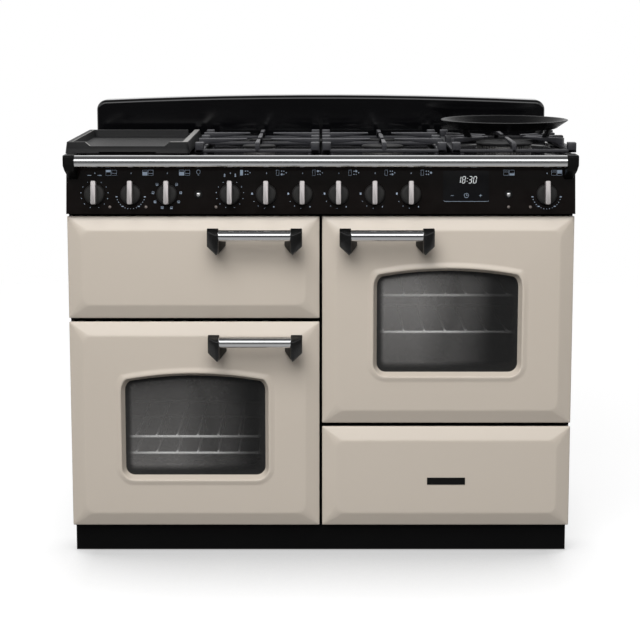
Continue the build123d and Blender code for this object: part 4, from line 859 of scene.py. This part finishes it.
# Burners: die-cast aluminium heads with milled flame ports, and loose steel caps in matt black enamel.
# A spark plug of white glazed ceramic stands beside each head.
head_alloy = coat("cast_burner_alloy", {"Metallic": 1.0}, grained(
    (0.20, 0.195, 0.19), (0.32, 0.315, 0.31), (90, 3.0), (0.36, 0.50), relief=(0.15, 0.0003), peel=(900, 2.0)))
cap_enamel = coat("matt_cap_enamel", {SHINE: 0.1}, grained(
    (0.006, 0.006, 0.0065), (0.010, 0.010, 0.0105), (25, 2.0), (0.42, 0.55), (800, 2.0), (0.12, 0.0003)))
white_ceramic = coat("white_ceramic", {}, grained(
    (0.62, 0.60, 0.56), (0.72, 0.70, 0.66), (200, 2.0), (0.25, 0.4)))
CROWN = ((-10, 881), (2, 882.1), (2, 883.4), (-0.5, 884.2), (-4.5, 884.6), (-4.5, 891.4), (-8, 892.0))
CAP = ((-3, 898.0), (0.6, 897.5), (2.4, 896.3), (3.0, 894.6), (2.6, 893.1), (1.2, 892.2), (-8, 892.0))
PLUG = ((3.0, 880), (3.0, 887), (2.4, 888.4), (0.9, 889.0), (0.9, 892.0), (0, 892.4))
PLUG_TURN, PLUG_GAP = 2.4, 7
TOOTH = (0.0068, 0.0042, 0.0066)
crowns, caps, plugs = bmesh.new(), bmesh.new(), bmesh.new()
for x, d, r, _ in BURNERS:
    turned(crowns, [(r + out, z) for out, z in CROWN], x, d, 64)
    ports = int(r * 0.9)
    for port in range(ports):
        turn = Matrix.Translation(at(x, d, 0)) @ Matrix.Rotation(2 * pi * port / ports, 4, "Z")
        block(crowns, turn @ Matrix.Translation(((r - 3.4) / 1000, 0, 0.8876)), TOOTH)
    turned(caps, [(0, 898.0)] + [(r + out, z) for out, z in CAP], x, d, 64)
    turned(plugs, PLUG, x + (r + PLUG_GAP) * cos(PLUG_TURN), d + (r + PLUG_GAP) * sin(PLUG_TURN), 14)
make("burner_crowns", crowns, head_alloy, "body", ["burner_heads"], 35)
make("burner_lids", caps, cap_enamel, "body", ["burner_caps"], 60)
make("spark_plugs", plugs, white_ceramic, "body")


# Hotplate under the griddle: a raw cast iron disc, turned on a lathe,
# with rings cut in its face and a rounded edge that drops into the hob.
plate_iron = coat("raw_cast_iron", {SHINE: 0.35}, grained(
    (0.016, 0.016, 0.018), (0.032, 0.032, 0.035), (14, 2.0), (0.42, 0.60), (500, 3.0), (0.3, 0.0005)))
GRIDDLE_X, GRIDDLE_D = -420, 234
disc = [(0, 887.0), (18, 887.0), (20, 887.9)]
for groove in range(24, 84, 9):
    disc += [(groove, 888.0), (groove + 5, 888.0), (groove + 6, 887.4), (groove + 8, 887.4)]
disc += [(90, 888.0), (94, 887.6), (95, 886.6), (95, 885.0)]
bm = bmesh.new()
turned(bm, disc, GRIDDLE_X, GRIDDLE_D, 72)
make("hotplate_disc", bm, plate_iron, "body", ["hotplate"], 50)


# Griddle: one cast iron tray with a non-stick face and a machined rim, lifted on and off by hand.
# Its front wall is cut down between two slopes, and a small spout is cut in the back wall.
def griddle_black(pen):
    grit = pen.noise(420, 3.0)
    # Painted light: the tray's floor is painted lighter than its walls, as if lit from above, with a random tone
    # mixed in.
    painted_floor_light_and_tone = (pen.along(2) * 1000).spread(897.6, 901, 0.9, 0.1) + pen.noise(10, 3.0) * 0.2
    return {
        "Base Color": pen.tint(painted_floor_light_and_tone, (0.0030, 0.0030, 0.0032), (0.013, 0.013, 0.0132)),
        "Roughness": grit.spread(0.3, 0.7, 0.44, 0.58),
        "Normal": pen.bump(grit, 0.22, 0.0005),
    }


tray_black = coat("griddle_black", {SHINE: 0.25}, griddle_black)
rim_grey = coat("machined_rim", {"Metallic": 0.3}, grained(
    (0.26, 0.255, 0.245), (0.36, 0.35, 0.335), (300, 2.0, 0.5, (0.15, 1, 1)), (0.42, 0.58)))
TRAY_W, TRAY_L = 270, 388
TRAY_TOP, DIP_TOP, SLOT_TOP = 914, 905, 893
SLOT_HALF, DIP_HALF, SLOPE_HALF = 62, 81, 91.7
SPOUT_IN, SPOUT_OUT = 105, 119
TRAY = ((6.0, 7.0, 889.1), (0.6, 8.0, 889.0), (0.0, 8.0, 889.8), (2.9, 8.0, 913.0), (3.2, 8.0, 913.7),
        (4.0, 8.0, 914.0), (15.0, 8.0, 913.9), (15.9, 8.0, 913.5), (16.2, 8.0, 912.8), (18.6, 8.0, 900.2),
        (19.4, 8.0, 898.4), (21.0, 8.0, 897.4), (24.0, 8.0, 897.0), (26.0, 8.0, 896.9))
bm = bmesh.new()
loops = [hoop(bm, at(GRIDDLE_X, GRIDDLE_D, z), TRAY_W - 2 * inset, TRAY_L - 2 * inset, corner, level=True)
         for inset, corner, z in TRAY]
skin(bm, loops)
for loop in (loops[0], loops[-1]):
    bmesh.ops.contextual_create(bm, geom=loop)
offsets = (-SLOPE_HALF, -DIP_HALF, -SLOT_HALF, SLOT_HALF, DIP_HALF, SLOPE_HALF,
           SPOUT_IN - 1, SPOUT_IN, SPOUT_OUT, SPOUT_OUT + 1)
cuts = [(at(GRIDDLE_X + x, 0, 0), (1, 0, 0)) for x in offsets] + [(at(0, 0, SLOT_TOP), (0, 0, 1))]
for spot, across in cuts:
    bmesh.ops.bisect_plane(bm, geom=[*bm.verts, *bm.edges, *bm.faces], plane_co=spot, plane_no=across, dist=1e-6)
outward(bm)
front_wall = [f for f in bm.faces if f.calc_center_median().z < SLOT_TOP / 1000 and f.normal.y < -0.9
              and abs(f.calc_center_median().x * 1000 - GRIDDLE_X) < SLOT_HALF]
slot = bmesh.ops.extrude_face_region(bm, geom=front_wall)["geom"]
bmesh.ops.delete(bm, geom=front_wall, context="FACES_ONLY")
bmesh.ops.translate(bm, vec=(0, 0.012, 0), verts=[item for item in slot if isinstance(item, bmesh.types.BMVert)])
for vert in bm.verts:
    x, d, z = vert.co.x * 1000 - GRIDDLE_X, vert.co.y * 1000 + DOOR_FACE, vert.co.z * 1000
    dip = d < 60 and abs(x) < DIP_HALF + 0.1
    spout = d > 408 and SPOUT_IN - 0.1 < x < SPOUT_OUT + 0.1
    if z > DIP_TOP and (dip or spout):
        vert.co.z = (DIP_TOP - (TRAY_TOP - z) * 0.2) / 1000
outward(bm)
make("griddle_tray", bm, tray_black, "griddle", ["griddle"], 32)
bm = bmesh.new()
box(bm, -300.6, -289.2, 44.4, 424, 913.9, 914.15)
box(bm, -327.0, -300.6, 44.4, 55.4, 913.9, 914.15)
box(bm, -541.5, -539.6, 60, 406, 913.9, 914.12)
for side in (-1, 1):
    spot = Matrix.Translation(at(GRIDDLE_X + side * 86.4, 49.9, 909.55))
    slope = spot @ Matrix.Rotation(-side * radians(40), 4, "Y")
    block(bm, slope, (0.013, 0.011, 0.0003))
make("griddle_ground_rim", bm, rim_grey, "griddle")
bm = bmesh.new()
PAD = ((0, 885.3), (8, 885.3), (9.4, 885.9), (10, 887), (10, 889.4))
for x in (GRIDDLE_X - 95, GRIDDLE_X + 95):
    for d in (GRIDDLE_D - 154, GRIDDLE_D + 154):
        turned(bm, PAD, x, d, 20)
make("griddle_pads", bm, black_rubber, "griddle")


# Pan supports: three cast iron grates in satin black enamel, each in one piece.
# Low bars frame each grate; lugs and pointed fingers stand up from them, rubbed paler on top by pans.
def grate_enamel(pen):
    grit = pen.noise(380, 3.0)
    rubbed = (pen.along(2) * 1000).spread(911.2, 912.8) * grit.spread(0.2, 0.5)
    cast = pen.tint(pen.noise(18, 2.0), (0.012, 0.012, 0.0145), (0.021, 0.021, 0.025))
    return {
        "Base Color": pen.tint(rubbed, cast, (0.085, 0.085, 0.092)),
        "Roughness": grit.spread(0.3, 0.7, 0.34, 0.48),
        "Normal": pen.bump(grit, 0.14, 0.0005),
    }


GRATE_HALF, GRATE_FRONT, GRATE_BACK = 135, 44, 446
BAR_FOOT, BAR_TOP, BAR_W = 891, 898, 12
LUG_W, LUG_L, LUG_TOP = 19, 20, 913
FINGER_H, FINGER_W, FINGER_MID = 22.0, 10, 902
ROOT_L, SHOULDER_L = 14, 7
GRATE_FOOT = ((0, 885.3), (4, 885.3), (5, 886), (5, 892))


def cast_bar(bm, x0, x1, d0, d1, z0, z1, round_by=1.6):
    """A cast bar with rounded edges."""
    soften(bm, round_by, 3, 25, box(bm, x0, x1, d0, d1, z0, z1))


def cast_finger(bm, x, d, angle, root, tip, shoulder):
    """A pan-carrying finger that points at a burner: deep at its root, thin at its tip."""
    length = root - tip
    turn = Matrix.Translation(at(x, d, FINGER_MID)) @ Matrix.Rotation(radians(angle), 4, "Z")
    finger = bmesh.new()
    block(finger, Matrix(), (length / 1000, FINGER_W / 1000, FINGER_H / 1000))
    lengthwise = [e for e in finger.edges if abs(e.verts[0].co.x - e.verts[1].co.x) > 0.001]
    bmesh.ops.subdivide_edges(finger, edges=lengthwise, cuts=13, use_grid_fill=True)
    for vert in finger.verts:
        from_root = length / 2 - vert.co.x * 1000
        share = from_root / length
        if vert.co.z < 0:
            arch = FINGER_H - 11.5 * min(1, max(0, (from_root - ROOT_L) / 16)) ** 0.6
            taper = 14.5 - 10.5 * share if from_root > ROOT_L else FINGER_H
            vert.co.z = (FINGER_H / 2 - min(arch, taper)) / 1000
        vert.co.y *= 1 - 0.22 * share
        if shoulder and vert.co.z > 0 and from_root < SHOULDER_L:
            vert.co.z -= 0.005 * (1 - from_root / SHOULDER_L) ** 2
    reach = Matrix.Translation(((tip + root) / 2000, 0, 0))
    bmesh.ops.transform(finger, matrix=turn @ reach, verts=list(finger.verts))
    soften(finger, 1.5, 3, 40)
    held = bpy.data.meshes.new("finger")
    finger.to_mesh(held)
    finger.free()
    bm.from_mesh(held)
    bpy.data.meshes.remove(held)


def pan_support(name, x, fingers, crossbar):
    """One grate: its frame, corner and middle lugs, feet and fingers."""
    bm = bmesh.new()
    for d in (GRATE_FRONT, GRATE_BACK - BAR_W, *([252] if crossbar else [])):
        cast_bar(bm, x - GRATE_HALF, x + GRATE_HALF, d, d + BAR_W, BAR_FOOT, BAR_TOP)
    for x0 in (x - GRATE_HALF, x + GRATE_HALF - LUG_W):
        cast_bar(bm, x0, x0 + LUG_W, GRATE_FRONT, GRATE_BACK, BAR_FOOT, BAR_TOP)
        for d in (GRATE_FRONT, 248, GRATE_BACK - LUG_L):
            cast_bar(bm, x0, x0 + LUG_W, d, d + LUG_L, BAR_FOOT + 0.5, LUG_TOP, 2.2)
    for d in (GRATE_FRONT + BAR_W / 2, GRATE_BACK - BAR_W / 2):
        for across in (-113, 113):
            turned(bm, GRATE_FOOT, x + across, d, 14)
    for finger in fingers:
        cast_finger(bm, *finger)
    outward(bm)
    make(f"{name}_casting", bm, grate_black, name, [name], 45)


grate_black = coat("satin_grate_enamel", {SHINE: 0.6}, grate_enamel)
TIP, WOK_TIP = 27, 50
for name, x in (("grate_left", -GRATE_X), ("grate_middle", GRATE_X)):
    fingers = []
    for d, to_front, to_back in ((FRONT_D, 125, 89), (REAR_D, 89, 99)):
        fingers += [(x, d, angle, GRATE_HALF, TIP, False) for angle in (0, 180)]
        fingers += [(x, d, -90, to_front, TIP, True), (x, d, 90, to_back, TIP, True)]
    pan_support(name, x, fingers, True)
corner = atan2(89, GRATE_HALF)
slants = (corner, -corner, pi - corner, corner - pi)
fingers = [(WOK_X, WOK_D, angle, GRATE_HALF, WOK_TIP, False) for angle in (0, 180)]
fingers += [(WOK_X, WOK_D, -90, 214, WOK_TIP, True), (WOK_X, WOK_D, 90, 188, WOK_TIP, True)]
fingers += [(WOK_X, WOK_D, slant * 180 / pi, 149.7, WOK_TIP, False) for slant in slants]
pan_support("grate_right", WOK_X, fingers, False)


# Wok cradle: a cast iron ring with a rolled lip, sloping in towards the flame, in black enamel.
# Four splayed legs, cast with it, stand on the slanting fingers of the right grate.
cradle_black = coat("cradle_enamel", {SHINE: 0.07}, grained(
    (0.0035, 0.0035, 0.0038), (0.0065, 0.0065, 0.0068), (12, 2.0), (0.24, 0.34), (420, 2.0), (0.06, 0.0004)))
CRADLE = ((145.0, 948.4), (144.4, 949.5), (142.8, 950.0), (140.4, 950.0), (138.6, 949.4), (136.6, 947.9),
          (128.0, 941.6), (114.2, 931.4), (113.0, 930.4), (114.0, 930.0), (117.6, 930.0), (119.4, 930.6),
          (131.0, 938.8), (140.6, 945.2), (144.2, 947.4), (145.0, 948.4))
LEG = ((119, 936), (112, 933), (98, 913.3), (110, 913.3))
LEG_HALF = 8
bm = bmesh.new()
turned(bm, CRADLE, WOK_X, WOK_D, 128)
for slant in slants:
    leg = []
    for r, z in LEG:
        for across in (-LEG_HALF, LEG_HALF):
            spot = Matrix.Rotation(slant, 3, "Z") @ Vector((r, across, z)) / 1000
            leg.append(bm.verts.new(spot + at(WOK_X, WOK_D, 0)))
    bmesh.ops.convex_hull(bm, input=leg)
    bmesh.ops.dissolve_limit(bm, angle_limit=0.01, verts=leg, edges=list({e for v in leg for e in v.link_edges}))
    soften(bm, 1.4, 2, 25, leg)
outward(bm)
make("wok_cradle_casting", bm, cradle_black, "wok_cradle", ["wok_cradle"], 40)


# Backguard: folded sheet steel with a gently crowned top and rolled edges,
# fired in the hob's gloss enamel and screwed down behind it.
guard_enamel = coat("backguard_enamel", {SHINE: 0.65}, gloss_enamel)
finish_node(guard_enamel, "backguard")


# Gas rail and taps: drawn brass bar behind the fascia, drilled and tapped for the valves,
# with the threaded inlet at the back of the cooker.
brass = coat("drawn_brass", {"Metallic": 1.0}, grained(
    (0.42, 0.29, 0.10), (0.62, 0.45, 0.18), (40, 3.0), (0.24, 0.40)))
finish_node(brass, "tap_rail")


# Studio: a pale floor that runs back into a white backdrop, a broad lamp overhead, soft boxes in front, a camera.
# The camera, metal and glass see a white room with a dim ceiling; the rest of the light is soft and even.
def rays(pen):
    """Whether light goes to the camera, comes off a mirror or comes through glass."""
    return [pen.node("LightPath", out=f"Is {kind} Ray") for kind in ("Camera", "Glossy", "Transmission")]


def pale_floor(pen):
    cloud = pen.noise(3, 2.0)
    seen, mirrored, through = rays(pen)
    forward, sideways = pen.along(1), abs(pen.along(0))
    nearby = forward.spread(-1.3, -0.95, 0.03, 0.30)
    shown = pen.sum("MINIMUM", seen + through + mirrored * nearby, 1.0)
    # A painted shadow: in front of the plinth the floor's glow is dimmed where ambient occlusion finds the cooker
    # close by.
    open_sky = pen.node("AmbientOcclusion", {"samples": 16}, {"Distance": 0.45}, out="AO")
    painted_shadow_zone = forward.spread(-0.25, -0.14, 1.0, 0.3) * sideways.spread(0.50, 0.66, 1.0, 0.1)
    painted_shadow_factor = 1.0 - open_sky.spread(0.5, 0.97, 0.5, 0.0) * painted_shadow_zone
    return {
        "Base Color": pen.tint(cloud, (0.19, 0.19, 0.19), (0.21, 0.21, 0.21)),
        "Emission Color": pen.tint(shown * painted_shadow_factor, (0, 0, 0), (0.86, 0.86, 0.86)),
    }


bm = bmesh.new()
bmesh.ops.create_grid(bm, x_segments=1, y_segments=1, size=3.5)
floor_mesh = bpy.data.meshes.new("studio_floor")
bm.to_mesh(floor_mesh)
bm.free()
floor_mesh.materials.append(coat("pale_studio_floor", {"Roughness": 0.9, "Emission Strength": 1.0}, pale_floor))
floor = placed("studio_floor", floor_mesh)

world = bpy.data.worlds.new("studio")
bpy.context.scene.world = world
world.use_nodes = True
sky = world.node_tree.nodes["Background"]
pen = Shade(world.node_tree)
seen, mirrored, through = rays(pen)
heading = pen.node("TexCoord", out="Generated")
back = pen.node("SeparateXYZ", {}, {0: heading}, out=1)
up = pen.node("SeparateXYZ", {}, {0: heading}, out=2)
ceiling = up.spread(0.62, 0.78) * (1.0 - back.spread(0.40, 0.62))
front = up.spread(0.18, 0.25, 0.05, 1.0) + back.spread(-0.1, 0.2, 0.0, 0.95)
room = pen.sum("MINIMUM", front, 1.0) * (1.0 - ceiling * 0.88)
shown = pen.sum("MINIMUM", mirrored + through, 1.0)
strength = seen + (1.0 - seen) * (shown * room + (1.0 - shown) * 0.11)
sky.inputs["Color"].default_value = (1.0, 1.0, 1.0, 1.0)
world.node_tree.links.new(strength.socket, sky.inputs["Strength"])

key = bpy.data.lights.new("broad_key_lamp", "SUN")
key.energy = 1.5
key.angle = radians(40)
key_lamp = placed("broad_key_lamp", key)
key_lamp.rotation_euler = Vector((0.22, 0.61, -0.76)).to_track_quat("-Z", "Y").to_euler()
key_lamp.visible_glossy = False

for name, spot, aim, width, height, power, shown in (
        ("front_softbox", (-0.3, -4.7, 3.0), (0, 0, 0.7), 5.0, 2.4, 50, True),
        ("near_softbox", (-0.2, -2.55, 2.0), (0, -0.27, 0.6), 2.4, 1.0, 16, False),
        ("top_bank", (-0.2, -1.7, 2.7), (0, -0.27, 0.8), 2.6, 0.8, 36, False)):
    soft = bpy.data.lights.new(name, "AREA")
    soft.shape = "RECTANGLE"
    soft.size = width
    soft.size_y = height
    soft.energy = power
    soft_lamp = placed(name, soft)
    soft_lamp.location = spot
    soft_lamp.rotation_euler = (Vector(aim) - Vector(spot)).to_track_quat("-Z", "Y").to_euler()
    soft_lamp.visible_camera = False
    soft_lamp.visible_glossy = shown

lens = bpy.data.cameras.new("photo_camera")
camera = placed("photo_camera", lens)
bpy.context.scene.camera = camera
AWAY, EYE_HEIGHT, TILT = 3.668, 1.2046, 8.07
PICTURE, FOCAL = 640, 1713.1
camera.location = (0.0, -AWAY - DOOR_FACE / 1000, EYE_HEIGHT)
camera.rotation_euler = (radians(90 - TILT), 0, 0)
lens.sensor_width = 36.0
lens.lens = lens.sensor_width * FOCAL / PICTURE
lens.shift_x = -0.8 / PICTURE
lens.shift_y = -0.11
bpy.context.scene.view_settings.view_transform = "Standard"
